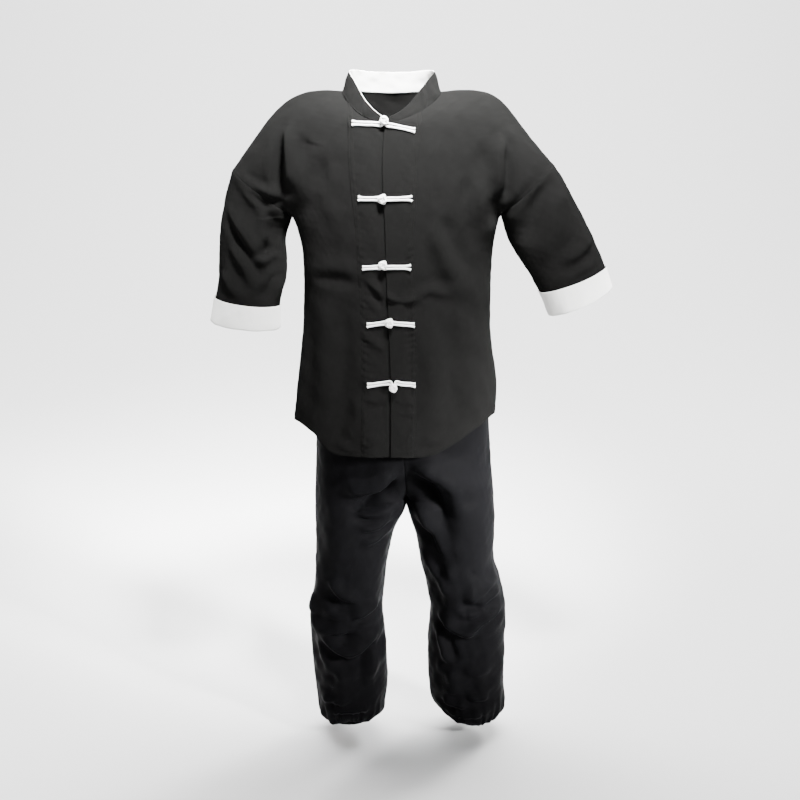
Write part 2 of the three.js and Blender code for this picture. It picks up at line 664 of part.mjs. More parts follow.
// The right front lies under the left one along the front edge
function underlapped(rows) {
  return rows.map((row, index) => {
    if (index > ROWS_BELOW + NECK_ROW) return row;
    const corner = index === ROWS_BELOW + NECK_ROW ? UNDER_CORNER : [0, 0, 0];
    return row.map((point, column) => {
      const under = add(point, [column === 0 ? UNDERLAP : 0, column < 2 ? UNDERLAP_DROP : 0, 0]);
      return column === 0 ? add(under, corner) : under;
    });
  });
}
plainRows.front_right = underlapped(plainRows.front_right);

for (const side of ["right", "left"]) {
  const rows = plainRows["front_" + side];
  const normals = plainNormals["front_" + side];
  piece("jacket_front_" + side, shell(rows, moved(rows, normals, -WALL)), BLACK);
}
const mirrorJoin = (left, right) => left.map((row, index) => [...row.slice(1).reverse(), ...right[index]]);
const backRows = mirrorJoin(plainRows.back_right, plainRows.back_left);
const backNormals = mirrorJoin(plainNormals.back_right, plainNormals.back_left);
piece("jacket_back", shell(backRows, moved(backRows, backNormals, -WALL)), BLACK);

// Front bands, laid on the fronts' first two columns
const bands = {};
for (const side of ["right", "left"]) {
  const rows = plainRows["front_" + side].slice(0, BAND_ROWS + 1).map((row) => row.slice(0, 3));
  const normals = plainNormals["front_" + side].slice(0, BAND_ROWS + 1).map((row) => row.slice(0, 3));
  bands[side] = moved(rows, normals, LAY_GAP + BAND_WALL);
  piece("front_band_" + side, shell(bands[side], moved(rows, normals, LAY_GAP)), BLACK);
}

// Sleeves: rings from the seam on the upper arm to the turned-back end
const RING_POINTS = 2 * ROWS_ABOVE;
function ringOf(frame, lift = 0) {
  const grown = {
    ...frame,
    reach: scaled(unit(frame.reach), Math.hypot(...frame.reach) + lift),
    depth: frame.depth + lift,
  };
  return Array.from({ length: RING_POINTS }, (_, index) => {
    const angle = (Math.PI * index) / ROWS_ABOVE;
    return ringPoint(grown, angle, -1);
  });
}
for (const side of ["right", "left"]) {
  const last = SLEEVES[side].length - 1;
  const span = cuffSpan(side);
  const places = Array.from({ length: SLEEVE_RINGS }, (_, index) =>
    ((last - span) * index) / (SLEEVE_RINGS - 1),
  );
  const frames = [...places, last].map((place) => ringFrame(side, place));
  const arm = armDirection(side);
  const outer = frames.map((frame) => ringOf(frame));
  outer[0] = outer[0].map((point) => add(point, arm, HALF_GAP));
  const inner = frames.map((frame) => ringOf(frame, -WALL));
  inner[0] = inner[0].map((point) => add(point, arm, HALF_GAP));
  piece("sleeve_" + side, shell(outer, inner, true), BLACK);

  // The white end is one strip folded up round the sleeve's edge: inside, under and outside
  const end = frames[SLEEVE_RINGS];
  const start = frames[SLEEVE_RINGS - 1];
  const down = unit(minus(end.centre, start.centre));
  const outside = LAY_GAP + CUFF_WALL;
  const inside = -WALL - LAY_GAP - CUFF_WALL;
  const below = (lift, drop) => ringOf(end, lift).map((point) => add(point, down, drop));
  const top = (lift) => ringOf(ringFrame(side, last - span), lift);
  const section = [
    top(outside),
    below(outside, 0),
    below(outside / 2, LAY_GAP + CUFF_WALL),
    below(inside + CUFF_WALL / 2, LAY_GAP + CUFF_WALL),
    below(inside, 0),
    top(inside),
    top(inside + CUFF_WALL),
    below(inside + CUFF_WALL, LAY_GAP),
    below(LAY_GAP, LAY_GAP),
    top(LAY_GAP),
  ];
  piece("cuff_" + side, hoop(section), WHITE);
}

// A ring whose section is a closed loop of rings
function hoop(section) {
  const rows = [...section, section[0]];
  const count = section[0].length;
  const positions = section.flat(2);
  const faces = [];
  for (let row = 0; row < rows.length - 1; row += 1)
    for (let column = 0; column < count; column += 1) {
      const next = (column + 1) % count;
      const above = (row + 1) % section.length;
      const a = row * count + column;
      const b = row * count + next;
      const c = above * count + next;
      const d = above * count + column;
      faces.push(a, b, c, a, c, d);
    }
  return solid(positions, faces);
}

// The share of a sleeve's table that the turned-back end covers
function cuffSpan(side) {
  const last = SLEEVES[side].length - 1;
  const end = ringFrame(side, last).centre;
  let span = 0;
  while (span < last && Math.hypot(...minus(ringFrame(side, last - span).centre, end)) < CUFF_HEIGHT)
    span += 0.02;
  return span;
}

// The stand collar, black outside and white inside, on the neck seam
const COLLAR_START = 2; // how far the collar's ends stand back from the foot of the opening
const neckSteps = NECK_RIGHT.length - 1;
const readPoint = (table, place) => ["x", "y", "z"].map((axis) => read(table, "step", axis, place));
const collarBase = [];
for (let step = 0; step <= 2 * neckSteps; step += 1) {
  const onRight = step <= neckSteps;
  const place = onRight ? step : 2 * neckSteps - step;
  const shift = onRight ? -COLLAR_START : COLLAR_START;
  const point = readPoint(onRight ? NECK_RIGHT : NECK_LEFT, place);
  if (place === 0) point[0] += shift;
  collarBase.push({ point, place });
}
function collarPoint({ point, place }, share, inward, rise) {
  const toCentre = unit([-point[0], -point[1], 0]);
  const lean = read(COLLAR, "step", "lean", place);
  const up = unit(add([0, 0, 1], toCentre, lean));
  const level = unit(add(toCentre, [0, 0, 1], -lean));
  const height = read(COLLAR, "step", "height", place);
  const base = add(point, up, COLLAR_LIFT);
  return add(add(base, up, share * (height + rise)), level, inward);
}
function collarGrid(inward, rise) {
  return [0, 0.5, 1].map((share) => collarBase.map((base) => collarPoint(base, share, inward, rise)));
}
piece("collar_outer", shell(collarGrid(0, 0), collarGrid(COLLAR_WALL, 0)), BLACK);
const liningIn = COLLAR_WALL + LAY_GAP;
piece(
  "collar_lining",
  shell(collarGrid(liningIn, LINING_RISE), collarGrid(liningIn + LINING_WALL, LINING_RISE)),
  WHITE,
);

// How far forward the fronts reach at a place seen from the front
const frontGrids = [bands.right, bands.left, plainRows.front_right, plainRows.front_left];
function frontAt(x, z) {
  let reach = Infinity;
  for (const rows of frontGrids)
    for (let row = 0; row < rows.length - 1; row += 1)
      for (let column = 0; column < rows[row].length - 1; column += 1) {
        const corners = [
          rows[row][column],
          rows[row][column + 1],
          rows[row + 1][column + 1],
          rows[row + 1][column],
        ];
        for (const [a, b, c] of [[0, 1, 2], [0, 2, 3]]) {
          const y = heightIn(corners[a], corners[b], corners[c], x, z);
          if (y !== null && y < reach) reach = y;
        }
      }
  return reach;
}
function heightIn(a, b, c, x, z) {
  const area = (b[0] - a[0]) * (c[2] - a[2]) - (c[0] - a[0]) * (b[2] - a[2]);
  const shareB = ((x - a[0]) * (c[2] - a[2]) - (c[0] - a[0]) * (z - a[2])) / area;
  const shareC = ((b[0] - a[0]) * (z - a[2]) - (x - a[0]) * (b[2] - a[2])) / area;
  if (shareB < 0 || shareC < 0 || shareB + shareC > 1) return null;
  return a[1] + shareB * (b[1] - a[1]) + shareC * (c[1] - a[1]);
}

// A round cord along a list of points
function cord(points, steps) {
  const path = new THREE.CatmullRomCurve3(points.map((point) => new THREE.Vector3(...point)));
  const round = new THREE.Shape();
  for (let side = 0; side < CORD_SIDES; side += 1) {
    const angle = (2 * Math.PI * side) / CORD_SIDES;
    const corner = [CORD_RADIUS * Math.cos(angle), CORD_RADIUS * Math.sin(angle)];
    if (side === 0) round.moveTo(...corner);
    else round.lineTo(...corner);
  }
  round.closePath();
  return new THREE.ExtrudeGeometry(round, { steps, extrudePath: path, bevelEnabled: false });
}

// Each frog: a knotted button whose doubled cord runs to the right front, and a loop of
// doubled cord on the left front that ends at the button
const CORD_PITCH = CORD_RADIUS + 0.35; // from a bar's middle to each of its two cords
const CORD_FLARE = 0.25; // how much wider a bar is at its far end
const KNOT_GAP = 0.4; // between a knot and the cords beside it
const feelRows = [-FROG_BAND, 0, FROG_BAND];
FROGS.forEach((frog, index) => {
  const name = String(index + 1);
  const over = (x, z, radius) => {
    const reaches = feelRows.flatMap((rise) =>
      [-radius, 0, radius].map((aside) => frontAt(x + aside, z + rise)),
    );
    return Math.min(...reaches.filter(Number.isFinite)) - radius - CORD_LIFT;
  };
  const bar = (fromX, toX, slope) => {
    const pointAt = (share, offset) => {
      const x = fromX + (toX - fromX) * share;
      const flared = offset * (1 + CORD_FLARE * share * share);
      const z = frog.z + slope * share + flared;
      return [x, over(x, frog.z + slope * share, CORD_RADIUS), z];
    };
    const shares = [0, 0.2, 0.4, 0.6, 0.8, 0.94];
    const upper = shares.map((share) => pointAt(share, CORD_PITCH));
    const lower = shares.map((share) => pointAt(share, -CORD_PITCH)).reverse();
    return [...upper, pointAt(1, 0), ...lower];
  };
  const seated = (geometry) => {
    const places = geometry.getAttribute("position");
    let clear = Infinity;
    for (let corner = 0; corner < places.count; corner += 1) {
      const under = frontAt(places.getX(corner), places.getZ(corner));
      if (Number.isFinite(under)) clear = Math.min(clear, under - places.getY(corner));
    }
    geometry.translate(0, clear - SEAT_GAP, 0);
    return geometry;
  };
  const half = frog.size / 2;
  const knotZ = frog.z + frog.knotRise;
  const ball = new THREE.SphereGeometry(half, KNOT_SIDES, KNOT_RINGS);
  ball.scale(1, KNOT_DEPTH, KNOT_TALL);
  ball.translate(frog.knotX, over(frog.knotX, knotZ, half), knotZ);
  const past = Math.max(Math.abs(frog.knotRise) - CORD_PITCH - CORD_RADIUS, 0);
  const beside = Math.sqrt((half + KNOT_GAP) ** 2 - past ** 2);
  const cords = {
    right: bar(frog.knotX - beside, frog.right, frog.slopeRight),
    left: bar(frog.knotX + beside, frog.left, frog.slopeLeft),
  };
  piece("frog_knot_" + name, seated(ball), WHITE);
  piece("frog_cord_" + name, seated(cord(cords.right, CORD_STEPS)), WHITE);
  piece("frog_loop_" + name, seated(cord(cords.left, CORD_STEPS)), WHITE);
});

// Trousers: four panels from the waist to the ankle, each a row of curves from the seam through
// the crotch or the inside leg to the side seam
const crotchAt = (away, row) => {
  const step = (row * CROTCH_STEPS) / SEAT_ROWS;
  const table = away < 0 ? CROTCH_FRONT : CROTCH_BACK;
  const z = read(table, "step", "z", step);
  return [read(CROTCH_X, "z", "x", z), read(table, "step", "y", step), z];
};
function trouserRows(side, away) {
  const sign = side === "right" ? -1 : 1;
  const table = LEGS[side];
  const depthColumn = away < 0 ? "front" : "back";
  const rows = [];
  for (let row = 0; row <= TROUSER_ROWS; row += 1) {
    const seat = row <= SEAT_ROWS;
    const down = between((row - SEAT_ROWS) / LEG_ROWS, 0, 1);
    const legZ = CROTCH_Z + (ANKLE_Z - CROTCH_Z) * ankleSpacing(down);
    const sideZ = seat
      ? WAIST_Z + (SIDE_CROTCH_Z - WAIST_Z) * (row / SEAT_ROWS)
      : SIDE_CROTCH_Z + (ANKLE_Z - SIDE_CROTCH_Z) * ankleSpacing(down);
    const depth = read(table, "z", depthColumn, sideZ);
    const middle = read(table, "z", "y", sideZ);
    const outer = read(table, "z", "outer", sideZ);
    const start = seat ? crotchAt(away, row) : [read(table, "z", "inner", legZ), middle, legZ];
    const end = [outer, middle, sideZ];
    const stood = seat ? between(Math.abs(start[1]) / depth, 0, 1) : 0;
    const reach = ROUNDNESS * Math.abs(outer - start[0]) * stood;
    const leave = [sign * reach, away * HALF_RING_REACH * depth * (1 - stood), 0];
    const arrive = [0, away * depth * (ROUNDNESS * stood + HALF_RING_REACH * (1 - stood)), 0];
    rows.push(clothRow(start, leave, end, arrive, [], LEG_COLUMNS));
  }
  return rows;
}

// Rows crowd together towards the ankle, where the cloth turns in to its casing
function ankleSpacing(down) {
  return down * (1 + ANKLE_CROWDING - ANKLE_CROWDING * down);
}

const trouserFade = (down, across) => smooth(across * 5) * smooth((1 - across) * 5) * smooth((1 - down) * 12);
const trouserEnds = { waist: {}, ankle: {} };
for (const side of ["right", "left"])
  for (const [name, away] of [["front", -1], ["back", 1]]) {
    const rows = trouserRows(side, away);
    const sign = side === "right" ? -1 : 1;
    const outward = (point) => [point[0] - legMiddle(side, point[2]), point[1] * 1.2, 0];
    const normals = normalsOf(rows, outward, false);
    const folds = away < 0 ? TROUSER_FRONT_FOLDS : TROUSER_BACK_FOLDS;
    const folded = fold(rows, normals, folds, trouserFade);
    rows.forEach((row, index) => {
      const end = row.length - 1;
      const seam = crotchNormal(away, index, sign);
      normals[index][end] = [sign, 0, 0];
      normals[index][0] = seam.normal;
      folded[index][end] = add(folded[index][end], [0, away * HALF_GAP, 0]);
      folded[index][0] = add(folded[index][0], seam.aside, HALF_GAP);
    });
    trouserEnds.waist[name + "_" + side] = folded[0];
    trouserEnds.ankle[name + "_" + side] = folded[TROUSER_ROWS];
    piece("trouser_" + name + "_" + side, shell(folded, moved(folded, normals, -WALL)), TROUSER_BLACK);
  }
function legMiddle(side, z) {
  const share = smooth((WAIST_Z - z) / (WAIST_Z - CROTCH_Z));
  const inner = read(LEGS[side], "z", "inner", z);
  const outer = read(LEGS[side], "z", "outer", z);
  return inner + (outer - inner) * 0.5 * share;
}

// The seam through the crotch faces forward or back and then down; the inside leg faces inwards
function crotchNormal(away, row, sign) {
  if (row > SEAT_ROWS) return { normal: [-sign, 0, 0], aside: [0, away, 0] };
  if (row === SEAT_ROWS) return { normal: [0, 0, -1], aside: unit([sign, away, 0]) };
  const before = crotchAt(away, Math.max(row - 1, 0));
  const next = crotchAt(away, row + 1);
  const along = minus(next, before);
  return { normal: unit([0, -along[2] * away, along[1] * away]), aside: [sign, 0, 0] };
}

// Elastic casings at the waist and the ankles, on the panels' own ends
function ringFromEnds(ends) {
  return ends.flatMap((end) => end.slice(1));
}
const waist = trouserEnds.waist;
const waistRing = ringFromEnds([
  waist.front_right,
  [...waist.back_right].reverse(),
  waist.back_left,
  [...waist.front_left].reverse(),
]);
const centreOf = (ring) => scaled(ring.reduce((sum, point) => add(sum, point), [0, 0, 0]), 1 / ring.length);
function casing(ring, lift, height, grow) {
  const centre = centreOf(ring);
  const at = (inward, rise) =>
    ring.map((point) => {
      const out = unit([point[0] - centre[0], point[1] - centre[1], 0]);
      return add(add(point, out, grow - inward), [0, 0, rise]);
    });
  const rises = [lift, lift + height / 2, lift + height];
  return shell(
    rises.map((rise) => at(0, rise)),
    rises.map((rise) => at(CASING_WALL, rise)),
    true,
  );
}
piece("waistband", casing(waistRing, SEAM_GAP, WAISTBAND_HEIGHT, WAISTBAND_GROWTH), TROUSER_BLACK);
for (const side of ["right", "left"]) {
  const front = trouserEnds.ankle["front_" + side];
  const back = trouserEnds.ankle["back_" + side];
  const ring = [...front.slice(0, -1), ...[...back].reverse().slice(0, -1)];
  const cased = casing(ring, -ANKLE_CASING_DROP, ANKLE_CASING_HEIGHT, -WALL - LAY_GAP);
  piece("ankle_casing_" + side, cased, TROUSER_BLACK);
}

export default uniform;
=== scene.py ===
import math

import bmesh
import bpy
import numpy as np
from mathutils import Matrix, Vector
from mathutils.bvhtree import BVHTree


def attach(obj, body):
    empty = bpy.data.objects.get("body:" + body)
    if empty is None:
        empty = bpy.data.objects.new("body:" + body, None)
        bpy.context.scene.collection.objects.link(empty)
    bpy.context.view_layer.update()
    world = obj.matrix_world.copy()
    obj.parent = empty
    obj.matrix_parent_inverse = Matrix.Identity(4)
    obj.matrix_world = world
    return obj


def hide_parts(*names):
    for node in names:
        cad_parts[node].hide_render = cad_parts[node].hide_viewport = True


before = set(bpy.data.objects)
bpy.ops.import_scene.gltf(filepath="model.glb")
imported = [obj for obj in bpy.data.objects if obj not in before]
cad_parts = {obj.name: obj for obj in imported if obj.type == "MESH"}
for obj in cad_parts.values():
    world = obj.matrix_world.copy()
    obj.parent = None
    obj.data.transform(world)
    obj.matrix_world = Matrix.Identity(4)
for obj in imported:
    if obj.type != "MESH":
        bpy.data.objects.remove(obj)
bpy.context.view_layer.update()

MM = 0.001

# The uniform's own sizes, in millimetres, as its solids have them. The front faces -Y, +X is
# the wearer's left, and the origin is the centre of the neck's base.
WALL = 1.2
LAY_GAP = 0.3
BAND_WALL = 1.0
HALF_GAP = 0.15
UNDERLAP = 22
UNDERLAP_DROP = 2.8
CUFF_HEIGHT = 48
ROWS_BELOW = 14
ROWS_ABOVE = 10
ROWS = ROWS_BELOW + ROWS_ABOVE
NECK_ROW = 6
BACK_NECK_COLUMNS = 3
BACK_COLUMNS = 13
SEAT_ROWS = 8
CROTCH_STEPS = 10
LEG_ROWS = 12
ROUNDNESS = 0.6
BACK_FULLNESS = 0.35
NECK_PULL = 5
HALF_RING_REACH = 4 / 3
HEM_Z = -728
FRONT_TOP_Z = -246
BACK_TOP_Z = -240
WAIST_Z = -452
SIDE_CROTCH_Z = -872
CROTCH_Z = -858
ANKLE_Z = -1410
NECK_FOOT_Z = -42
FLOOR_Z = -1450


class Table:
    """A short table with named columns, read on a smooth curve through its rows."""

    def __init__(self, names, *rows):
        names = names.split()
        rows = sorted(rows, key=lambda row: row[0])
        self.columns = {name: [row[i] for row in rows] for i, name in enumerate(names)}
        self.key = self.columns[names[0]]

    def slope(self, values, row):
        before, after = max(row - 1, 0), min(row + 1, len(values) - 1)
        return (values[after] - values[before]) / (self.key[after] - self.key[before])

    def at(self, column, place):
        key, values = self.key, self.columns[column]
        held = min(max(place, key[0]), key[-1])
        low = 0
        while low < len(key) - 2 and held > key[low + 1]:
            low += 1
        span = key[low + 1] - key[low]
        t = (held - key[low]) / span
        return (
            values[low] * (1 - t) ** 2 * (1 + 2 * t)
            + values[low + 1] * t * t * (3 - 2 * t)
            + self.slope(values, low) * span * t * (1 - t) ** 2
            - self.slope(values, low + 1) * span * t * t * (1 - t)
        )

    def point(self, place):
        return np.array([self.at(axis, place) for axis in "xyz"])


BODY = Table(
    "z right left front back",
    (-740, -217, 224, 140, 134),
    (-674, -214, 222, 136, 130),
    (-619, -208, 227, 131, 126),
    (-565, -203, 222, 127, 121),
    (-512, -195, 211, 125, 112),
    (-428, -189, 209, 123, 104),
    (-342, -188, 211, 124, 106),
    (-290, -189, 214, 124, 111),
    (-236, -205, 224, 122, 116),
)
FRONT_LINE = Table(
    "z x y",
    (-740, -3, -140),
    (-574, -3, -128),
    (-447, -7, -123),
    (-332, -12, -124),
    (-246, -14, -122),
    (-171, -18, -119),
    (-110, -19, -108),
    (-42, -14, -88),
)
BACK_LINE = Table(
    "z x y",
    (-740, 5, 134),
    (-565, 8, 121),
    (-428, 9, 104),
    (-342, 9, 106),
    (-236, 8, 116),
    (-130, 5, 117),
    (-50, 2, 98),
    (10, 1, 74),
)
NECK = {
    "right": Table(
        "step x y z",
        (0, -14, -88, -42),
        (1, -44, -78, -36),
        (2, -73, -58, -21),
        (3, -93, -27, 3),
        (4, -102, 4, 17),
        (5, -87, 44, 17),
        (6, -49, 68, 12),
        (7, 1, 74, 10),
    ),
    "left": Table(
        "step x y z",
        (0, -14, -88, -42),
        (1, 22, -78, -38),
        (2, 60, -58, -21),
        (3, 88, -28, 3),
        (4, 100, 4, 16),
        (5, 86, 44, 17),
        (6, 50, 68, 12),
        (7, 1, 74, 10),
    ),
}
HEM_RISE = {
    "right": Table("share rise", (0, 0), (0.42, 1), (0.52, 14), (0.62, 40), (0.82, 52), (1, 45)),
    "left": Table("share rise", (0, 0), (0.28, 1), (0.46, 22), (0.62, 44), (0.82, 60), (1, 61)),
    "back": Table("share rise", (0, 2), (0.5, -12), (0.8, -6), (1, 0)),
}
SLEEVES = {
    "right": Table(
        "ring outerX outerZ innerX innerZ y depth",
        (0, -332, -142, -208, -236, 0, 66),
        (1, -351, -206, -217, -259, -4, 66),
        (2, -361, -262, -224, -283, -10, 65),
        (3, -363, -312, -223, -322, -18, 64),
        (4, -364, -356, -224, -364, -26, 63),
        (5, -372, -401, -237, -418, -33, 63),
        (6, -382, -452, -240, -468, -40, 63),
    ),
    "left": Table(
        "ring outerX outerZ innerX innerZ y depth",
        (0, 334, -130, 226, -234, 0, 66),
        (1, 371, -188, 240, -274, -3, 67),
        (2, 400, -240, 256, -310, -7, 67),
        (3, 425, -290, 280, -345, -11, 66),
        (4, 443, -330, 303, -382, -15, 65),
        (5, 452, -356, 319, -412, -18, 64),
        (6, 461, -384, 333, -444, -21, 64),
    ),
}
LAST_RING = 6
SHOULDER_REACH = Table(
    "share rightBody rightArm leftBody leftArm",
    (0, 115, 60, 115, 60),
    (0.4, 120, 95, 122, 96),
    (0.7, 114, 118, 124, 128),
    (1, 124, 142, 146, 164),
)
COLLAR = Table(
    "step height lean",
    (0, 11, 0.3),
    (1, 23, 0.42),
    (2, 35, 0.46),
    (3, 39, 0.42),
    (4, 40, 0.34),
    (5, 41, 0.26),
    (6, 41, 0.2),
    (7, 41, 0.18),
)
BAND = {
    "right": Table("z width", (-740, 63), (-395, 58), (-242, 61), (-142, 66), (-42, 74)),
    "left": Table("z width", (-740, 51), (-395, 57), (-272, 58), (-172, 68), (-42, 74)),
}
BAND_TOP_X = {"right": -88, "left": 60}
BAND_TOP_ROW = {"right": 22.6, "left": 21.9}
CROTCH_FRONT = Table(
    "step y z",
    (0, -96, -452),
    (2, -110, -548),
    (4, -116, -650),
    (6, -112, -738),
    (7, -99, -782),
    (8, -76, -822),
    (9, -42, -848),
    (10, 0, -858),
)
CROTCH_BACK = Table(
    "step y z",
    (0, 84, -452),
    (2, 103, -548),
    (3, 122.9, -598),
    (4, 124.7, -650),
    (6, 114, -738),
    (7, 100, -782),
    (8, 76, -822),
    (9, 42, -848),
    (10, 0, -858),
)
CROTCH_X = Table("z x", (-860, 31), (-700, 22), (-452, 12))
LEGS = {
    "right": Table(
        "z outer inner y front back",
        (-452, -138, 12, 0, 100, 88),
        (-560, -170, 16, 0, 112, 108),
        (-701, -168, 22, 0, 108, 108),
        (-880, -173, 30, 0, 103, 101),
        (-926, -172, 7, 0, 100, 98),
        (-1013, -174, -12, -3, 94, 90),
        (-1071, -178, -18, -6, 92, 86),
        (-1131, -190, -24, -5, 90, 84),
        (-1191, -188, -18, 0, 84, 84),
        (-1312, -181, -13, 8, 80, 82),
        (-1368, -176, -20, 10, 78, 80),
        (-1396, -171, -30, 11, 68, 70),
        (-1410, -153, -51, 12, 51, 51),
    ),
    "left": Table(
        "z outer inner y front back",
        (-452, 162, 12, 0, 100, 88),
        (-560, 203, 16, 0, 112, 108),
        (-701, 212, 22, 0, 108, 108),
        (-880, 225, 30, 0, 103, 101),
        (-926, 227, 47, 0, 100, 98),
        (-1013, 229, 63, -3, 94, 90),
        (-1071, 246, 76, -6, 92, 86),
        (-1131, 255, 87, -5, 90, 84),
        (-1191, 255, 81, 0, 84, 84),
        (-1312, 257, 83, 8, 80, 82),
        (-1368, 260, 95, 10, 78, 80),
        (-1396, 252, 116, 11, 68, 70),
        (-1410, 234, 134, 12, 51, 51),
    ),
}


# Small helpers
def smooth(value):
    held = np.clip(value, 0, 1)
    return held * held * (3 - 2 * held)


def unit(vectors):
    return vectors / np.maximum(np.linalg.norm(vectors, axis=-1, keepdims=True), 1e-9)


def vec(*values):
    return np.array(values, float)


def bell(distance, width):
    return np.exp(-((distance / width) ** 2))


def ripple(points, wavelength, seed, waves=7):
    """A smooth random swell over points, from -1 to 1 or so, the same in every run."""
    draw = np.random.default_rng(seed)
    total = np.zeros(points.shape[:-1])
    for _ in range(waves):
        direction = unit(draw.normal(size=3))
        pitch = wavelength * draw.uniform(0.7, 1.5)
        total += np.sin(points @ direction * (2 * np.pi / pitch) + draw.uniform(0, 2 * np.pi))
    return total / math.sqrt(waves * 1.6)


def lengths_along(path):
    """How far along a path each of its points lies."""
    return np.concatenate([[0], np.cumsum(np.linalg.norm(np.diff(path, axis=0), axis=1))])


def at_lengths(wanted, along, values):
    """Values in space at wanted lengths along a path."""
    return np.stack([np.interp(wanted, along, values[:, axis]) for axis in range(3)], axis=1)


def smooth_line(places, steps, short):
    """A smooth line through places, that stops a little short of the last."""
    places = np.array(places, float)
    padded = np.concatenate([[2 * places[0] - places[1]], places, [2 * places[-1] - places[-2]]])
    t = np.linspace(0, len(places) - 1 - short, steps)
    i = t.astype(int)
    u = (t - i)[:, None]
    a, b, c, d = (padded[i + n] for n in range(4))
    square = 2 * a - 5 * b + 4 * c - d
    cube = 3 * b - a - 3 * c + d
    return 0.5 * (2 * b + (c - a) * u + square * u**2 + cube * u**3)


def curve_row(start, leave, end, arrive, shares=None, distances=None):
    """Points along one row of cloth, at shares of its length or at distances from its start."""
    t = np.linspace(0, 1, 81)[:, None]
    handles = [start, start + leave, end + arrive, end]
    weights = [(1 - t) ** 3, 3 * t * (1 - t) ** 2, 3 * t * t * (1 - t), t**3]
    points = sum(weight * handle for weight, handle in zip(weights, handles))
    along = lengths_along(points)
    wanted = np.asarray(shares) * along[-1] if distances is None else np.asarray(distances)
    row = at_lengths(wanted, along, points)
    before = wanted < 0
    row[before] = start + unit(leave) * wanted[before, None]
    return row, along[-1]


# The jacket's form
def ring_frame(side, ring):
    table = SLEEVES[side]
    y = table.at("y", ring)
    outer = vec(table.at("outerX", ring), y, table.at("outerZ", ring))
    inner = vec(table.at("innerX", ring), y, table.at("innerZ", ring))
    centre = (inner + outer) / 2
    return centre, outer - centre, table.at("depth", ring)


def ring_point(side, ring, angle, away=-1, lift=0.0):
    centre, reach, depth = ring_frame(side, ring)
    reach = reach * (1 + lift / np.linalg.norm(reach))
    return centre - reach * math.cos(angle) + vec(0, away * math.sin(angle) * (depth + lift), 0)


def arm_direction(side):
    _, reach, _ = ring_frame(side, 0)
    turn = 1 if side == "right" else -1
    return unit(vec(-reach[2] * turn, 0, reach[0] * turn))


ARMPIT = {side: ring_point(side, 0, 0) for side in SLEEVES}


def jacket_row(side, away, row):
    """The start, handles and end of a row of the jacket, by its place from hem to shoulder."""
    sign = -1 if side == "right" else 1
    front = away < 0
    armpit = ARMPIT[side]
    side_hem = HEM_Z + HEM_RISE[side].at("rise", 1)
    top_z = FRONT_TOP_Z if front else BACK_TOP_Z
    up = min(row / ROWS_BELOW, 1)
    over = min(max((row - ROWS_BELOW) / ROWS_ABOVE, 0), 1)
    start_z = HEM_Z + (top_z - HEM_Z) * up
    end_z = side_hem + (armpit[2] - side_hem) * up
    side_x = BODY.at(side, end_z)
    side_x += (armpit[0] - BODY.at(side, armpit[2])) * smooth((up - 0.9) * 10)
    line = FRONT_LINE if front else BACK_LINE
    start = vec(line.at("x", start_z), line.at("y", start_z), start_z)
    end = vec(side_x, 0, end_z)
    leave = vec(sign * ROUNDNESS * abs(side_x), 0, 0)
    arrive = vec(0, away * ROUNDNESS * BODY.at("front" if front else "back", end_z), 0)
    if row <= ROWS_BELOW:
        return start, leave, end, arrive
    end = ring_point(side, 0, math.pi * over, away)
    body = SHOULDER_REACH.at(side + "Body", over)
    arm = SHOULDER_REACH.at(side + "Arm", over)
    near_arm = smooth(over / 0.45)
    near_neck = smooth(over / 0.5)
    arrive = arrive * (1 - near_arm) - arm_direction(side) * arm * near_arm
    leave = leave * (1 - near_neck) + vec(sign * body, 0, body * 0.12 * over) * near_neck
    if front:
        step = row - ROWS_BELOW
        foot_z = NECK[side].at("z", 0)
        if step <= NECK_ROW:
            z = top_z + (foot_z - top_z) * step / NECK_ROW
            start = vec(line.at("x", z), line.at("y", z), z)
        else:
            start = NECK[side].point(step - NECK_ROW)
    else:
        z = top_z + (NECK[side].at("z", 7) - top_z) * over
        start = vec(line.at("x", z), line.at("y", z), z)
        full = BACK_FULLNESS * smooth(over / 0.3)
        leave = leave * (1 + full)
        arrive = arrive * (1 - 0.5 * full)
    return start, leave, end, arrive


def lap_at(row):
    return UNDERLAP * float(smooth((ROWS_BELOW + NECK_ROW + 0.2 - row) / 1.2))


def hem_shift(side, away, row, share):
    """How far the curved hem lifts a point above its level row."""
    if row > ROWS_BELOW:
        return 0
    rise = HEM_RISE[side].at("rise", share)
    side_rise = HEM_RISE[side].at("rise", 1)
    if away > 0:
        rise = HEM_RISE["back"].at("rise", share) + share * side_rise
    fade = (1 - row / ROWS_BELOW) ** 2
    return (rise - side_rise * share) * fade


def jacket_front(side, rows, columns, band=False):
    """A front panel, or the band on it, as a grid of points from the hem up."""
    grid = []
    places = np.linspace(0, BAND_TOP_ROW[side] if band else ROWS, rows + 1)
    for row in places:
        start, leave, end, arrive = jacket_row(side, -1, row)
        _, length = curve_row(start, leave, end, arrive, shares=[0])
        lap = lap_at(row) if side == "right" else 0
        z = HEM_Z + row / (ROWS_BELOW + NECK_ROW) * (NECK_FOOT_Z - HEM_Z)
        width = BAND[side].at("width", min(z, NECK_FOOT_Z))
        if row > ROWS_BELOW + NECK_ROW:
            width = max(abs(BAND_TOP_X[side] - start[0]), 2)
        reach = width if band else length
        distances = np.linspace(-lap, reach, columns + 1)
        points, _ = curve_row(start, leave, end, arrive, distances=distances)
        for point, distance in zip(points, distances):
            share = max(distance, 0) / length
            if row <= ROWS_BELOW:
                level = start[2] + (end[2] - start[2]) * share
                point[2] = level + hem_shift(side, -1, row, share)
            if side == "right":
                held = 1 - smooth((distance - 4) / 34)
                point[1] += UNDERLAP_DROP * held * lap / UNDERLAP
        grid.append(points)
    return np.array(grid)


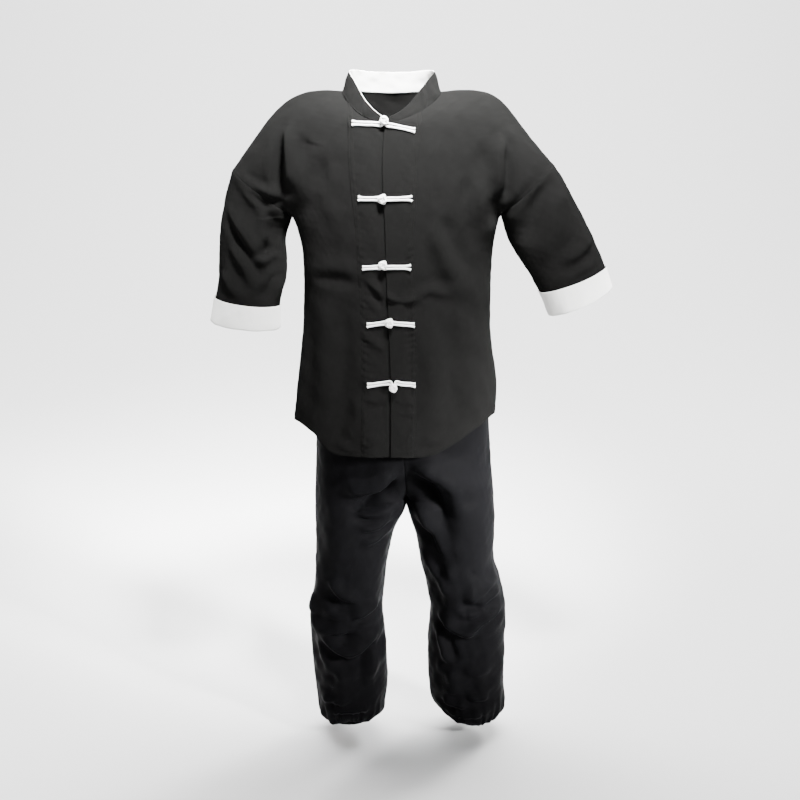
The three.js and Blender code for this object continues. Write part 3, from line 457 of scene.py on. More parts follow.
def jacket_back(rows, columns):
    """The whole back as one grid, from the wearer's right to the left."""
    halves = {}
    for side in ("right", "left"):
        shares = np.linspace(0, 1, columns + 1)
        plain_top, _ = curve_row(*jacket_row(side, 1, ROWS), shares=shares)
        shoulder = jacket_row(side, -1, ROWS)
        top = []
        for share in shares:
            place = share * BACK_COLUMNS
            if place < BACK_NECK_COLUMNS:
                top.append(NECK[side].point(7 - place))
            else:
                along = (place - BACK_NECK_COLUMNS) / (BACK_COLUMNS - BACK_NECK_COLUMNS)
                top.append(curve_row(*shoulder, shares=[along])[0][0])
        pull = np.array(top) - plain_top
        grid = []
        for row in np.linspace(0, ROWS, rows + 1):
            start, leave, end, arrive = jacket_row(side, 1, row)
            points, _ = curve_row(start, leave, end, arrive, shares=shares)
            if row <= ROWS_BELOW:
                for point, share in zip(points, shares):
                    level = start[2] + (end[2] - start[2]) * share
                    point[2] = level + hem_shift(side, 1, row, share)
            weight = smooth((row - ROWS_BELOW) / ROWS_ABOVE) ** NECK_PULL
            grid.append(points + pull * weight)
        halves[side] = np.array(grid)
    return np.concatenate([halves["right"][:, :0:-1], halves["left"]], axis=1)


def sleeve(side, rings, around, first=0.0, last=LAST_RING, lift=0.0):
    grid = []
    for ring in np.linspace(first, last, rings + 1):
        angles = np.arange(around) * 2 * np.pi / around
        grid.append([ring_point(side, ring, angle, -1, lift) for angle in angles])
    return np.array(grid)


def cuff_start(side):
    """The place in the sleeve's table where the turned-back end begins."""
    end = ring_frame(side, LAST_RING)[0]
    ring = float(LAST_RING)
    while np.linalg.norm(ring_frame(side, ring)[0] - end) < CUFF_HEIGHT:
        ring -= 0.02
    return ring


# The trousers' form
def crotch_point(away, row):
    table = CROTCH_FRONT if away < 0 else CROTCH_BACK
    step = row * CROTCH_STEPS / SEAT_ROWS
    z = table.at("z", step)
    return vec(CROTCH_X.at("x", z), table.at("y", step), z)


def trouser_panel(side, away, rows, columns):
    sign = -1 if side == "right" else 1
    table = LEGS[side]
    grid = []
    for row in np.linspace(0, SEAT_ROWS + LEG_ROWS, rows + 1):
        seat = row <= SEAT_ROWS
        down = min(max((row - SEAT_ROWS) / LEG_ROWS, 0), 1)
        spaced = down * (1.35 - 0.35 * down)
        leg_z = CROTCH_Z + (ANKLE_Z - CROTCH_Z) * spaced
        side_z = SIDE_CROTCH_Z + (ANKLE_Z - SIDE_CROTCH_Z) * spaced
        if seat:
            side_z = WAIST_Z + (SIDE_CROTCH_Z - WAIST_Z) * row / SEAT_ROWS
        depth = table.at("front" if away < 0 else "back", side_z)
        middle = table.at("y", side_z)
        outer = table.at("outer", side_z)
        start = crotch_point(away, row) if seat else vec(table.at("inner", leg_z), middle, leg_z)
        end = vec(outer, middle, side_z)
        stood = min(abs(start[1]) / depth, 1) if seat else 0
        leave = vec(
            sign * ROUNDNESS * abs(outer - start[0]) * stood,
            away * HALF_RING_REACH * depth * (1 - stood),
            0,
        )
        arrive = vec(0, away * depth * (ROUNDNESS * stood + HALF_RING_REACH * (1 - stood)), 0)
        points, _ = curve_row(start, leave, end, arrive, shares=np.linspace(0, 1, columns + 1))
        grid.append(points)
    return np.array(grid)


FOLD_STEPS = 28
# Folds: height out of the cloth (less than nothing for a trough), half width, then x and z
# along the fold as seen from the front. A skewed fold is steeper on one side.
FRONT_FOLDS = [
    # armpit folds, and the curl where the right one turns to the sleeve seam
    (17.5, 17, 0.35, [(-199, -40), (-213, -75), (-210, -125), (-208, -185)]),
    (-17, 11, 0, [(-214, -60), (-226, -100), (-229, -150), (-220, -200)]),
    (11, 13, -0.3, [(-318, -142), (-288, -172), (-254, -184), (-226, -176)]),
    (-8, 8, 0, [(-300, -176), (-270, -196), (-240, -203), (-214, -196)]),
    (9, 22, 0.3, [(-148, -62), (-162, -112), (-173, -160), (-188, -214)]),
    (-5, 14, 0, [(-136, -96), (-148, -150), (-158, -190), (-170, -240)]),
    (16, 18, -0.35, [(212, -60), (224, -108), (222, -162), (214, -215)]),
    (-15, 10, 0, [(228, -80), (233, -130), (231, -180), (226, -215)]),
    (10, 20, 0.2, [(146, -132), (168, -156), (184, -205), (192, -262), (200, -310)]),
    (-9, 16, 0, [(200, -146), (207, -200), (208, -260)]),
    # sleeves
    (-15, 26, 0, [(-244, -215), (-240, -262), (-236, -318), (-240, -380)]),
    (9, 13, 0.2, [(-268, -200), (-266, -250), (-258, -300)]),
    (-9, 9, 0, [(-300, -160), (-276, -190), (-250, -222)]),
    (-14.5, 23, 0.2, [(318, -140), (297, -192), (285, -250), (280, -300)]),
    (9.5, 26, 0, [(352, -160), (336, -215), (330, -275), (338, -330)]),
    (6.5, 12, 0.3, [(345, -330), (394, -300), (428, -262)]),
    (-5, 8, 0, [(352, -352), (396, -324), (432, -296)]),
    (6.5, 12, 0.2, [(340, -378), (384, -350), (432, -330)]),
    (9.5, 14, 0.35, [(-344, -205), (-316, -250), (-274, -315), (-248, -358)]),
    (-6.5, 9, 0, [(-346, -232), (-322, -272), (-286, -330), (-268, -372)]),
    (8, 13, 0.2, [(-340, -285), (-306, -330), (-278, -392)]),
    (-11, 12, 0.3, [(-290, -312), (-262, -306), (-236, -290)]),
    (9.5, 16, 0.2, [(-352, -340), (-330, -380), (-300, -428)]),
    (-8, 11, 0, [(-222, -346), (-252, -378), (-268, -415)]),
    # chest and lower fronts
    (9.5, 22, 0.3, [(74, -222), (96, -290), (128, -360), (166, -440)]),
    (-6.5, 15, 0, [(100, -215), (124, -285), (158, -352)]),
    (5.5, 21, 0, [(118, -400), (150, -462), (182, -530)]),
    (3, 17, 0.2, [(-170, -336), (-106, -334), (-64, -344), (-20, -350)]),
    (-3, 12, 0, [(-176, -360), (-110, -356), (-62, -364)]),
    (5, 9, 0.2, [(-58, -350), (-26, -376), (12, -402)]),
    (5, 9, 0.2, [(-18, -384), (22, -398), (64, -390)]),
    (5, 10, 0.2, [(50, -394), (80, -378), (124, -394)]),
    (-4, 8, 0, [(-52, -378), (-20, -404), (10, -424)]),
    (4, 10, 0.2, [(-62, -462), (-36, -486), (-8, -504)]),
    (6.5, 31, 0.2, [(-124, -360), (-138, -500), (-150, -662)]),
    (-6.5, 21, 0, [(-96, -380), (-104, -520), (-112, -680)]),
    (5.5, 26, 0.2, [(-76, -590), (-74, -650), (-84, -712)]),
    (6.5, 31, 0.2, [(66, -412), (84, -560), (80, -704)]),
    (-6.5, 23, 0, [(112, -450), (126, -570), (122, -690)]),
    (5.5, 29, 0.2, [(158, -520), (170, -600), (166, -672)]),
    (-5, 17, 0, [(-170, -440), (-176, -560), (-178, -660)]),
    (4, 9, 0.2, [(-2, -598), (24, -612), (50, -606)]),
    (4, 9, 0.2, [(-2, -622), (26, -634), (50, -624)]),
    (4, 9, 0, [(-60, -600), (-34, -606), (-4, -592)]),
    (4, 10, 0.2, [(-128, -694), (-86, -714), (-44, -694), (-8, -688)]),
    (4, 10, 0.2, [(52, -706), (84, -694), (122, -700)]),
]
BACK_FOLDS = [
    (14.5, 20, 0.3, [(-188, -50), (-204, -100), (-200, -160), (-192, -220)]),
    (-8, 10, 0, [(-218, -80), (-226, -140), (-218, -200)]),
    (14.5, 20, -0.3, [(196, -60), (212, -110), (210, -165), (202, -225)]),
    (-8, 10, 0, [(226, -90), (234, -150), (226, -210)]),
    (8, 29, 0.2, [(-120, -120), (-132, -200), (-110, -290)]),
    (8, 29, -0.2, [(126, -130), (138, -210), (118, -300)]),
    (6.5, 23, 0.2, [(-150, -300), (-60, -332), (40, -326), (146, -296)]),
    (-6.5, 15, 0, [(-140, -336), (-50, -366), (60, -360), (140, -334)]),
    (6.5, 21, 0.2, [(-90, -398), (10, -412), (104, -392)]),
    (8, 31, 0.2, [(-96, -440), (-112, -560), (-122, -710)]),
    (-8, 21, 0, [(-50, -470), (-58, -590), (-60, -716)]),
    (6.5, 29, 0, [(-4, -500), (2, -610), (0, -722)]),
    (8, 31, -0.2, [(108, -450), (122, -570), (132, -706)]),
    (-8, 21, 0, [(60, -480), (66, -600), (70, -716)]),
    (8, 16, 0.3, [(-342, -200), (-312, -250), (-270, -300), (-240, -340)]),
    (8, 16, 0.2, [(-346, -290), (-310, -340), (-270, -380)]),
    (-8, 10, 0, [(-338, -246), (-304, -296), (-262, -338)]),
    (8, 16, 0.3, [(-352, -380), (-318, -410), (-272, -424)]),
    (8, 16, 0.3, [(334, -190), (300, -240), (276, -300)]),
    (-9.5, 17, 0, [(366, -210), (334, -262), (312, -330)]),
    (8, 14, 0.2, [(424, -300), (380, -330), (330, -362)]),
    (8, 13, 0.2, [(440, -350), (396, -372), (346, -400)]),
]
FRONT_LEG_FOLDS = [
    # round the crotch: broad lit planes over hollows on the inner thighs
    (17, 34, -0.35, [(20, -742), (-20, -782), (-64, -808), (-124, -826)]),
    (-18, 24, 0, [(14, -812), (-26, -838), (-64, -852), (-100, -862)]),
    (15, 34, 0.3, [(28, -738), (82, -766), (124, -798), (142, -860)]),
    (-15, 26, 0, [(46, -800), (84, -832), (104, -880), (112, -960)]),
    (-12, 26, 0, [(60, -900), (88, -960), (112, -1030)]),
    (14.5, 18, -0.4, [(12, -762), (-22, -796), (-60, -820), (-104, -838)]),
    (-13, 10, 0, [(14, -792), (-20, -820), (-56, -840), (-96, -854)]),
    (11, 13, 0.2, [(-94, -856), (-56, -872), (-20, -866), (6, -846)]),
    (-8, 8, 0, [(-84, -878), (-46, -888), (-8, -872)]),
    (9.5, 12, 0.2, [(-74, -904), (-38, -900), (2, -872)]),
    (-6.5, 8, 0, [(-70, -922), (-34, -914), (0, -892)]),
    (8, 13, 0.2, [(-72, -948), (-36, -930), (-2, -900)]),
    (14.5, 21, 0.3, [(32, -752), (78, -774), (118, -806), (140, -846)]),
    (-11, 13, 0, [(38, -786), (78, -812), (108, -850), (122, -900)]),
    (8, 13, 0.2, [(46, -846), (82, -910), (120, -984)]),
    (-6.5, 8, 0, [(44, -882), (76, -940), (112, -1000)]),
    (8, 13, 0.2, [(60, -930), (100, -980), (146, -1042)]),
    (8, 13, 0.2, [(72, -990), (100, -1030), (130, -1076)]),
    # right knee and shin
    (11, 13, 0.3, [(-142, -1024), (-120, -1054), (-92, -1068), (-66, -1068)]),
    (-11, 12, 0, [(-150, -1062), (-120, -1090), (-80, -1098)]),
    (9.5, 13, 0.2, [(-98, -1118), (-60, -1104), (-26, -1076)]),
    (-8, 8, 0, [(-92, -1136), (-56, -1122), (-22, -1098)]),
    (9.5, 14, 0.2, [(-178, -1070), (-182, -1100), (-170, -1126)]),
    (18, 20, 0.35, [(-166, -1134), (-142, -1176), (-102, -1204), (-58, -1176), (-26, -1116)]),
    (-14, 14, 0, [(-156, -1200), (-128, -1230), (-96, -1242), (-56, -1222), (-34, -1176)]),
    (9.5, 9, 0.3, [(-160, -1162), (-132, -1152), (-92, -1156)]),
    (-9.5, 11, 0, [(-128, -1176), (-100, -1170), (-72, -1160)]),
    (9.5, 13, 0.2, [(-184, -1120), (-164, -1180), (-146, -1250)]),
    (9.5, 13, -0.2, [(-20, -1130), (-44, -1204), (-58, -1306)]),
    (-8, 10, 0, [(-34, -1150), (-64, -1230), (-76, -1310)]),
    (8, 16, 0.2, [(-116, -1250), (-118, -1300), (-104, -1350)]),
    # left knee and shin
    (14, 24, -0.3, [(224, -1026), (208, -1048), (176, -1060), (150, -1056)]),
    (-13, 11, 0, [(244, -1072), (214, -1092), (174, -1094), (140, -1082)]),
    (9.5, 12, 0.2, [(236, -1052), (218, -1080), (188, -1096)]),
    (15, 16, 0.3, [(96, -1112), (130, -1142), (172, -1156), (206, -1136)]),
    (13, 9, 0.4, [(246, -1098), (208, -1122), (156, -1150)]),
    (-9.5, 9, 0, [(250, -1116), (212, -1140), (166, -1166)]),
    (8, 13, 0.2, [(134, -1112), (172, -1106), (218, -1090)]),
    (9.5, 12, 0.2, [(98, -1146), (112, -1192), (130, -1246)]),
    (-8, 9, 0, [(116, -1150), (128, -1196), (150, -1240)]),
    (8, 18, 0.2, [(158, -1238), (186, -1256), (222, -1246)]),
    (8, 16, 0.2, [(128, -1250), (134, -1290), (126, -1330)]),
    (8, 9, 0.2, [(162, -1318), (192, -1328), (224, -1326)]),
    # low on both legs
    (9.5, 12, 0.2, [(-168, -1340), (-132, -1336), (-96, -1352)]),
    (8, 9, 0.2, [(-146, -1368), (-98, -1362), (-46, -1356)]),
    (9.5, 10, 0.2, [(106, -1330), (136, -1346), (178, -1348)]),
    (8, 9, 0.2, [(120, -1372), (166, -1376), (216, -1366)]),
    # long soft falls on the thighs
    (8, 34, 0.2, [(-110, -770), (-128, -880), (-120, -1000)]),
    (8, 36, 0.2, [(176, -770), (190, -890), (184, -1010)]),
]
BACK_LEG_FOLDS = [
    (13, 18, 0.3, [(16, -770), (-20, -812), (-66, -838), (-118, -842)]),
    (-11, 10, 0, [(14, -806), (-24, -838), (-70, -860), (-112, -862)]),
    (13, 18, -0.3, [(32, -770), (74, -812), (120, -838), (168, -842)]),
    (-11, 10, 0, [(36, -806), (78, -838), (124, -860), (166, -862)]),
    (8, 14, 0.2, [(-80, -884), (-40, -890), (0, -868)]),
    (8, 14, 0.2, [(134, -884), (94, -890), (52, -868)]),
    (8, 34, 0.2, [(-90, -600), (-104, -690), (-96, -780)]),
    (8, 34, -0.2, [(130, -600), (146, -690), (138, -780)]),
    (8, 31, 0.2, [(-100, -900), (-112, -980), (-104, -1060)]),
    (8, 31, 0.2, [(150, -900), (166, -980), (176, -1060)]),
    (11, 14, 0.3, [(-168, -1062), (-120, -1086), (-70, -1090), (-28, -1070)]),
    (-11, 10, 0, [(-166, -1090), (-118, -1112), (-66, -1114), (-30, -1096)]),
    (9.5, 13, 0.3, [(-170, -1112), (-118, -1138), (-64, -1140), (-30, -1122)]),
    (11, 14, 0.3, [(240, -1058), (190, -1086), (140, -1090), (92, -1070)]),
    (-11, 10, 0, [(242, -1088), (190, -1112), (140, -1114), (94, -1098)]),
    (9.5, 13, 0.3, [(246, -1110), (196, -1140), (146, -1142), (96, -1122)]),
    (8, 16, 0.2, [(-140, -1190), (-120, -1250), (-124, -1320)]),
    (8, 16, 0.2, [(-70, -1180), (-60, -1250), (-70, -1330)]),
    (8, 16, 0.2, [(210, -1190), (198, -1250), (206, -1320)]),
    (8, 16, 0.2, [(132, -1180), (128, -1250), (140, -1330)]),
    (8, 10, 0.2, [(-160, -1350), (-110, -1362), (-50, -1352)]),
    (8, 10, 0.2, [(236, -1350), (186, -1362), (126, -1352)]),
]


def fold_push(points, facing, folds):
    """How far a list of folds pushes each point out, where the cloth faces their way."""
    weight = smooth((facing + 0.05) / 0.5)
    x, z = points[..., 0], points[..., 2]
    push = np.zeros(x.shape)
    for height, width, skew, places in folds:
        line = smooth_line(places, FOLD_STEPS, 0.0001)
        low, high = line.min(axis=0) - 4 * width, line.max(axis=0) + 4 * width
        near = (x > low[0]) & (x < high[0]) & (z > low[1]) & (z < high[1]) & (weight > 0)
        if not near.any():
            continue
        spot = np.stack([x[near], z[near]], axis=1)
        starts, ends = line[:-1], line[1:]
        run = ends - starts
        length = np.linalg.norm(run, axis=1)
        t = ((spot[:, None] - starts) * run).sum(axis=2) / length**2
        foot = starts + np.clip(t, 0, 1)[..., None] * run
        off = spot[:, None] - foot
        distance = np.linalg.norm(off, axis=2)
        nearest = distance.argmin(axis=1)
        pick = np.arange(len(spot))
        distance = distance[pick, nearest]
        ahead, aside = run[nearest], off[pick, nearest]
        side = np.sign(ahead[:, 0] * aside[:, 1] - ahead[:, 1] * aside[:, 0])
        reached = lengths_along(line)
        along = (reached[nearest] + np.clip(t[pick, nearest], 0, 1) * length[nearest]) / reached[-1]
        taper = smooth(np.minimum(along, 1 - along) / 0.3)
        spread = width * (1 + skew * side) * (0.75 + 0.5 * along)
        beside = np.hypot(distance, 0.8 * spread) - 2.1 * spread
        profile = bell(distance, spread) - 0.34 * bell(beside, spread)
        push[near] += height * profile * taper
    return push * weight


# Grids of points
def grid_normals(points, outward, wraps=False):
    """Normals of a grid of points, turned to the side that outward gives for most of them."""
    if wraps:
        across = np.roll(points, -1, axis=1) - np.roll(points, 1, axis=1)
    else:
        across = np.gradient(points, axis=1)
    normals = unit(np.cross(across, np.gradient(points, axis=0)))
    return normals if (normals * outward).sum() > 0 else -normals


def calmed(points, passes, wraps=False):
    """The grid's points drawn towards their neighbours, all but those on its edges."""
    calm = points.copy()
    for _ in range(passes):
        between = (calm[:-2] + calm[2:]) / 2
        if wraps:
            calm[1:-1] = (calm[1:-1] + between) / 2
        else:
            calm[1:-1, 1:-1] = (calm[1:-1, 1:-1] + between[:, 1:-1]) / 2
    return calm


def reach_along(points, axis):
    steps = np.linalg.norm(np.diff(points, axis=axis), axis=-1)
    start = np.zeros_like(np.take(steps, [0], axis=axis))
    return np.concatenate([start, np.cumsum(steps, axis=axis)], axis=axis)


def build_mesh(name, vertices, faces, material, uvs=None):
    mesh = bpy.data.meshes.new(name)
    mesh.from_pydata((np.asarray(vertices) * MM).tolist(), [], faces)
    mesh.polygons.foreach_set("use_smooth", [True] * len(mesh.polygons))
    if uvs is not None:
        layer = mesh.uv_layers.new(name="cloth")
        corners = np.zeros(len(mesh.loops), dtype=np.int32)
        mesh.loops.foreach_get("vertex_index", corners)
        layer.data.foreach_set("uv", (np.asarray(uvs)[corners] * MM).ravel())
    mesh.materials.append(material)
    thing = bpy.data.objects.new(name, mesh)
    bpy.context.scene.collection.objects.link(thing)
    return thing


def border(rows, columns, wraps):
    """Closed or open runs of grid places round a sheet's edge, each with its neighbour inside."""
    if wraps:
        return [
            [((0, c), (1, c)) for c in range(columns)],
            [((rows - 1, c), (rows - 2, c)) for c in reversed(range(columns))],
        ]
    run = [((0, c), (1, c)) for c in range(columns - 1)]
    run += [((r, columns - 1), (r, columns - 2)) for r in range(rows - 1)]
    run += [((rows - 1, c), (rows - 2, c)) for c in range(columns - 1, 0, -1)]
    run += [((r, 0), (r, 1)) for r in range(rows - 1, 0, -1)]
    return [run]


def cloth_piece(name, outer, inner, material, wraps=False):
    """A sheet of cloth with an outside, an inside and soft round edges."""
    rows, columns = outer.shape[:2]
    count = rows * columns
    grid = np.arange(count).reshape(rows, columns)
    after = np.roll(grid, -1, axis=1) if wraps else grid[:, 1:]
    here = grid if wraps else grid[:, :-1]
    quads = np.stack([here[:-1], after[:-1], after[1:], here[1:]], axis=-1).reshape(-1, 4)
    faces = quads.tolist() + (quads[:, ::-1] + count).tolist()
    vertices = [outer.reshape(-1, 3), inner.reshape(-1, 3)]
    u = reach_along(outer, 1)
    v = reach_along(outer, 0)
    flat = np.stack([u, v], axis=-1).reshape(-1, 2)
    uvs = [flat, flat]
    top = 2 * count
    for run in border(rows, columns, wraps):
        rim = []
        for place, inside in run:
            out = unit(outer[place] - outer[inside])
            thick = np.linalg.norm(outer[place] - inner[place])
            rim.append((outer[place] + inner[place]) / 2 + out * thick * 0.45)
        vertices.append(np.array(rim))
        uvs.append(np.array([flat[grid[place]] for place, _ in run]))
        for i in range(len(run)):
            j = (i + 1) % len(run)
            a, b = int(grid[run[i][0]]), int(grid[run[j][0]])
            faces.append([a, top + i, top + j, b])
            faces.append([a + count, b + count, top + j, top + i])
        top += len(run)
    thing = build_mesh(name, np.concatenate(vertices), faces, material, np.concatenate(uvs))
    turned = bmesh.new()
    turned.from_mesh(thing.data)
    bmesh.ops.recalc_face_normals(turned, faces=turned.faces)
    turned.to_mesh(thing.data)
    turned.free()
    return thing


# Materials
TWILL_TURN = math.radians(58)
RUMPLE_HEIGHT = 0.0009


def set_inputs(node, values):
    for name, value in values.items():
        node.inputs[name].default_value = value


def cotton(name, colour, sheen, weave_height, lint=0.15, gloss=0.0, roughness=0.74):
    """Woven cotton: a fine diagonal twill, slubs, and a faint unevenness of its dye."""
    made = bpy.data.materials.new(name)
    made.use_nodes = True
    nodes, links = made.node_tree.nodes, made.node_tree.links
    surface = nodes["Principled BSDF"]
    set_inputs(surface, {
        "Roughness": roughness,
        "Specular IOR Level": gloss,
        "Diffuse Roughness": 0.6,
        "Sheen Weight": sheen,
        "Sheen Roughness": 0.45,
        "Sheen Tint": (*[min(1, 0.35 + c) for c in colour], 1),
    })

    def texture(kind, source, values):
        node = nodes.new(kind)
        set_inputs(node, values)
        links.new(source, node.inputs["Vector"])
        return node

    flat = nodes.new("ShaderNodeTexCoord").outputs["UV"]
    turn = texture("ShaderNodeMapping", flat, {"Rotation": (0, 0, TWILL_TURN)})
    weave = {"Scale": 260, "Distortion": 1.2, "Detail Scale": 2}
    twill = texture("ShaderNodeTexWave", turn.outputs["Vector"], weave)
    slub = texture("ShaderNodeTexNoise", flat, {"Scale": 900, "Detail": 2})
    rumple = texture("ShaderNodeTexNoise", flat, {"Scale": 60, "Detail": 5, "Roughness": 0.6})
    shade = nodes.new("ShaderNodeMix")
    shade.data_type = "RGBA"
    dark, light = ((*[c * share for c in colour], 1) for share in (1 - lint, 1 + lint))
    set_inputs(shade, {"A": dark, "B": light})
    links.new(rumple.outputs["Fac"], shade.inputs["Factor"])
    links.new(shade.outputs["Result"], surface.inputs["Base Color"])
    last = None
    heights = ((twill, weave_height), (slub, weave_height * 0.6), (rumple, RUMPLE_HEIGHT))
    for source, height in heights:
        bump = nodes.new("ShaderNodeBump")
        set_inputs(bump, {"Strength": 0.35, "Distance": height})
        links.new(source.outputs["Fac"], bump.inputs["Height"])
        if last:
            links.new(last.outputs["Normal"], bump.inputs["Normal"])
        last = bump
    links.new(last.outputs["Normal"], surface.inputs["Normal"])
    return made


def plain(name, colour, roughness):
    made = bpy.data.materials.new(name)
    made.use_nodes = True
    surface = made.node_tree.nodes["Principled BSDF"]
    set_inputs(surface, {
        "Base Color": (*colour, 1),
        "Roughness": roughness,
        "Specular IOR Level": 0,
    })
    return made


BLACK_COTTON = cotton("black_cotton", (0.0071, 0.0071, 0.0069), sheen=0, weave_height=0.00022)
TROUSER_COTTON = cotton(
    "trouser_cotton", (0.0041, 0.0041, 0.0046), sheen=0, weave_height=0.00022, gloss=0.014, roughness=0.6
)
WHITE_CORD = cotton("white_braid", (0.86, 0.86, 0.845), sheen=0.1, weave_height=0.0004, lint=0.03)
WHITE_COTTON = cotton("white_cotton", (0.84, 0.84, 0.82), sheen=0.1, weave_height=0.0002, lint=0.02)
BLACK_THREAD = plain("black_thread", (0.0105, 0.01, 0.0092), roughness=0.7)
WHITE_THREAD = plain("white_thread", (0.8, 0.8, 0.78), roughness=0.7)


def dress(thing, *nodes):
    """Put a piece on the frame in place of the solids that it stands for."""
    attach(thing, "root")
    if nodes:
        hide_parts(*nodes)
    return thing


def lay_cloth(node, outer, inner, material, wraps=False):
    """Build the cloth of a node from its two sides, and put it on the frame in place of the node's solids.
    """
    thing = dress(cloth_piece(node + "_cloth", outer, inner, material, wraps), node)
    return thing


# The jacket's cloth
FRONT_ROWS, FRONT_COLUMNS, FRONT_CALMING = 168, 76, 90
BACK_ROWS, BACK_HALF_COLUMNS, BACK_CALMING = 160, 74, 30
BAND_ROWS, BAND_COLUMNS, BAND_CALMING = 360, 40, 180
SLEEVE_ROWS, SLEEVE_COLUMNS = 120, 120
HEM_DEPTH = 20
HEM_THICKNESS = 2.5
HEM_STITCHES = {"hem_stitches": 14, "hem_edge_stitches": 9}
BAND_STITCHES = (3, 11)
EDGE_STITCHES = 3.5
SLEEVE_STITCHES = 5
CUFF_STITCHES = 3
SEAM_REACH = 26
GROOVE_DEPTH = 1.3
GROOVE_WIDTH = 2.6
SEAT_TOP_Z = -440
LOWER_FALLS_Z = -500
# Ripples: height, how much more of it low down, wavelength, seed, and how upright they run
JACKET_RIPPLES = [(1.6, 0, 66, 11, 0.3), (0.85, 0, 30, 12, 0.5), (0.3, 0, 14, 13, 1), (0, 1.6, 90, 14, 0.3)]
LEG_RIPPLES = [(1.6, 1.6, 74, 41, 0.5), (0.8, 0.8, 34, 42, 1), (0.35, 0, 15, 43, 1)]
LAP_WIDTH = UNDERLAP + 6


def jacket_wrinkles(points, normals):
    """Soft falls, creases and fine rumples of the jacket, along its normals."""
    facing = normals[..., 1]
    push = fold_push(points, -facing, FRONT_FOLDS) + fold_push(points, facing, BACK_FOLDS)
    lower = smooth((LOWER_FALLS_Z - points[..., 2]) / 200)
    for height, more_below, wavelength, seed, stretch in JACKET_RIPPLES:
        swell = ripple(points * vec(1, 1, stretch), wavelength, seed)
        push += (height + more_below * lower) * swell
    # over the seat of the trousers the back's troughs stay shallow
    over_seat = smooth((SEAT_TOP_Z - points[..., 2]) / 60) * smooth((points[..., 1] - 40) / 30)
    shallow = (push + np.sqrt(push**2 + 9)) / 2 - 1.2
    return push * (1 - over_seat) + shallow * over_seat


def sew(points, normals, push, seams):
    """Move points along normals, with a narrow groove and small puckers beside each seam."""
    for distance, along in seams:
        push = push * (0.25 + 0.75 * smooth(distance / SEAM_REACH))
        push = push - GROOVE_DEPTH * bell(distance, GROOVE_WIDTH)
        pucker = np.sin(along / 5.1 + 1.7 * np.sin(along / 23)) * np.sin(along / 41)
        push = push + 0.35 * pucker * bell(distance - 5, 7)
    return points + normals * push[..., None]


def distances(points):
    """How far each point lies from the four edges of its grid, and how far along them."""
    across = reach_along(points, 1)
    up = reach_along(points, 0)
    return across, across[:, -1:] - across, up, up[-1:] - up


def lapped(push, start, side):
    """Where the fronts lap, the left one folds outward only and the right one lies flat."""
    lap = 1 - smooth((start - LAP_WIDTH) / 14)
    outward = (push + np.sqrt(push**2 + 4)) / 2 - 0.6
    flat = 0.1 * push - 0.5
    return push * (1 - lap) + (outward if side == "left" else flat) * lap


def jacket_front_cloth(side):
    base = calmed(jacket_front(side, FRONT_ROWS, FRONT_COLUMNS), FRONT_CALMING)
    normals = grid_normals(base, vec(0, -1, 0.3))
    rows = np.linspace(0, ROWS, FRONT_ROWS + 1)
    set_seam_normals(normals[:, -1], rows, side, -1)
    set_shoulder_normals(base[-1], normals[-1], side)
    push = jacket_wrinkles(base, normals)
    start, end, hem, top = distances(base)
    push = lapped(push, start, side)
    outer = sew(base, normals, push, [(end, hem), (top, start)])
    beside_neck = (rows[:, None] > ROWS_BELOW + NECK_ROW) * bell(start, 5)
    outer += normals * (hem_waves(start, hem) - 0.8 * beside_neck)[..., None]
    return outer, outer - normals * thickness(hem)[..., None], normals


def set_seam_normals(normals, rows, side, away):
    """Panels that meet at a seam share its normals: sideways, or round the arm."""
    sign = -1 if side == "right" else 1
    centre = ring_frame(side, 0)[0]
    for index, row in enumerate(rows):
        over = (row - ROWS_BELOW) / ROWS_ABOVE
        if over <= 0:
            normals[index] = unit(vec(sign, 0, -0.3 * smooth(1 + over * 6)))
        else:
            normals[index] = unit(ring_point(side, 0, math.pi * over, away) - centre)


def set_shoulder_normals(seam, normals, side):
    """Along the shoulder seam, out is up."""
    sign = -1 if side == "right" else 1
    along = np.gradient(seam, axis=0)
    normals[:] = unit(np.stack([-along[:, 2] * sign, 0 * along[:, 0], along[:, 0] * sign], axis=1))


def thickness(hem):
    """Cloth is doubled where its edge is turned up and stitched."""
    return WALL + (HEM_THICKNESS - WALL) * (1 - smooth((hem - HEM_DEPTH + 2) / 4))


def hem_waves(start, hem):
    """The slight wave that stitching gives a turned-up hem."""
    return 0.5 * np.sin(start / 7.5 + 2 * np.sin(start / 31)) * bell(hem - 12, 9)


def jacket_back_cloth():
    half = BACK_HALF_COLUMNS
    base = calmed(jacket_back(BACK_ROWS, half), BACK_CALMING)
    normals = grid_normals(base, vec(0, 1, 0.3))
    rows = np.linspace(0, ROWS, BACK_ROWS + 1)
    neck_share = BACK_NECK_COLUMNS / BACK_COLUMNS
    neck_columns = round(half * neck_share)
    set_seam_normals(normals[:, 0], rows, "right", 1)
    set_seam_normals(normals[:, -1], rows, "left", 1)
    right = slice(0, half - neck_columns + 1)
    left = slice(half + neck_columns, None)
    set_shoulder_normals(base[-1, right][::-1], normals[-1, right][::-1], "right")
    set_shoulder_normals(base[-1, left], normals[-1, left], "left")
    push = jacket_wrinkles(base, normals)
    start, end, hem, top = distances(base)
    outer = sew(base, normals, push, [(start, hem), (end, hem), (top, start)])
    outer += normals * hem_waves(start, hem)[..., None]
    return outer, outer - normals * thickness(hem)[..., None], normals


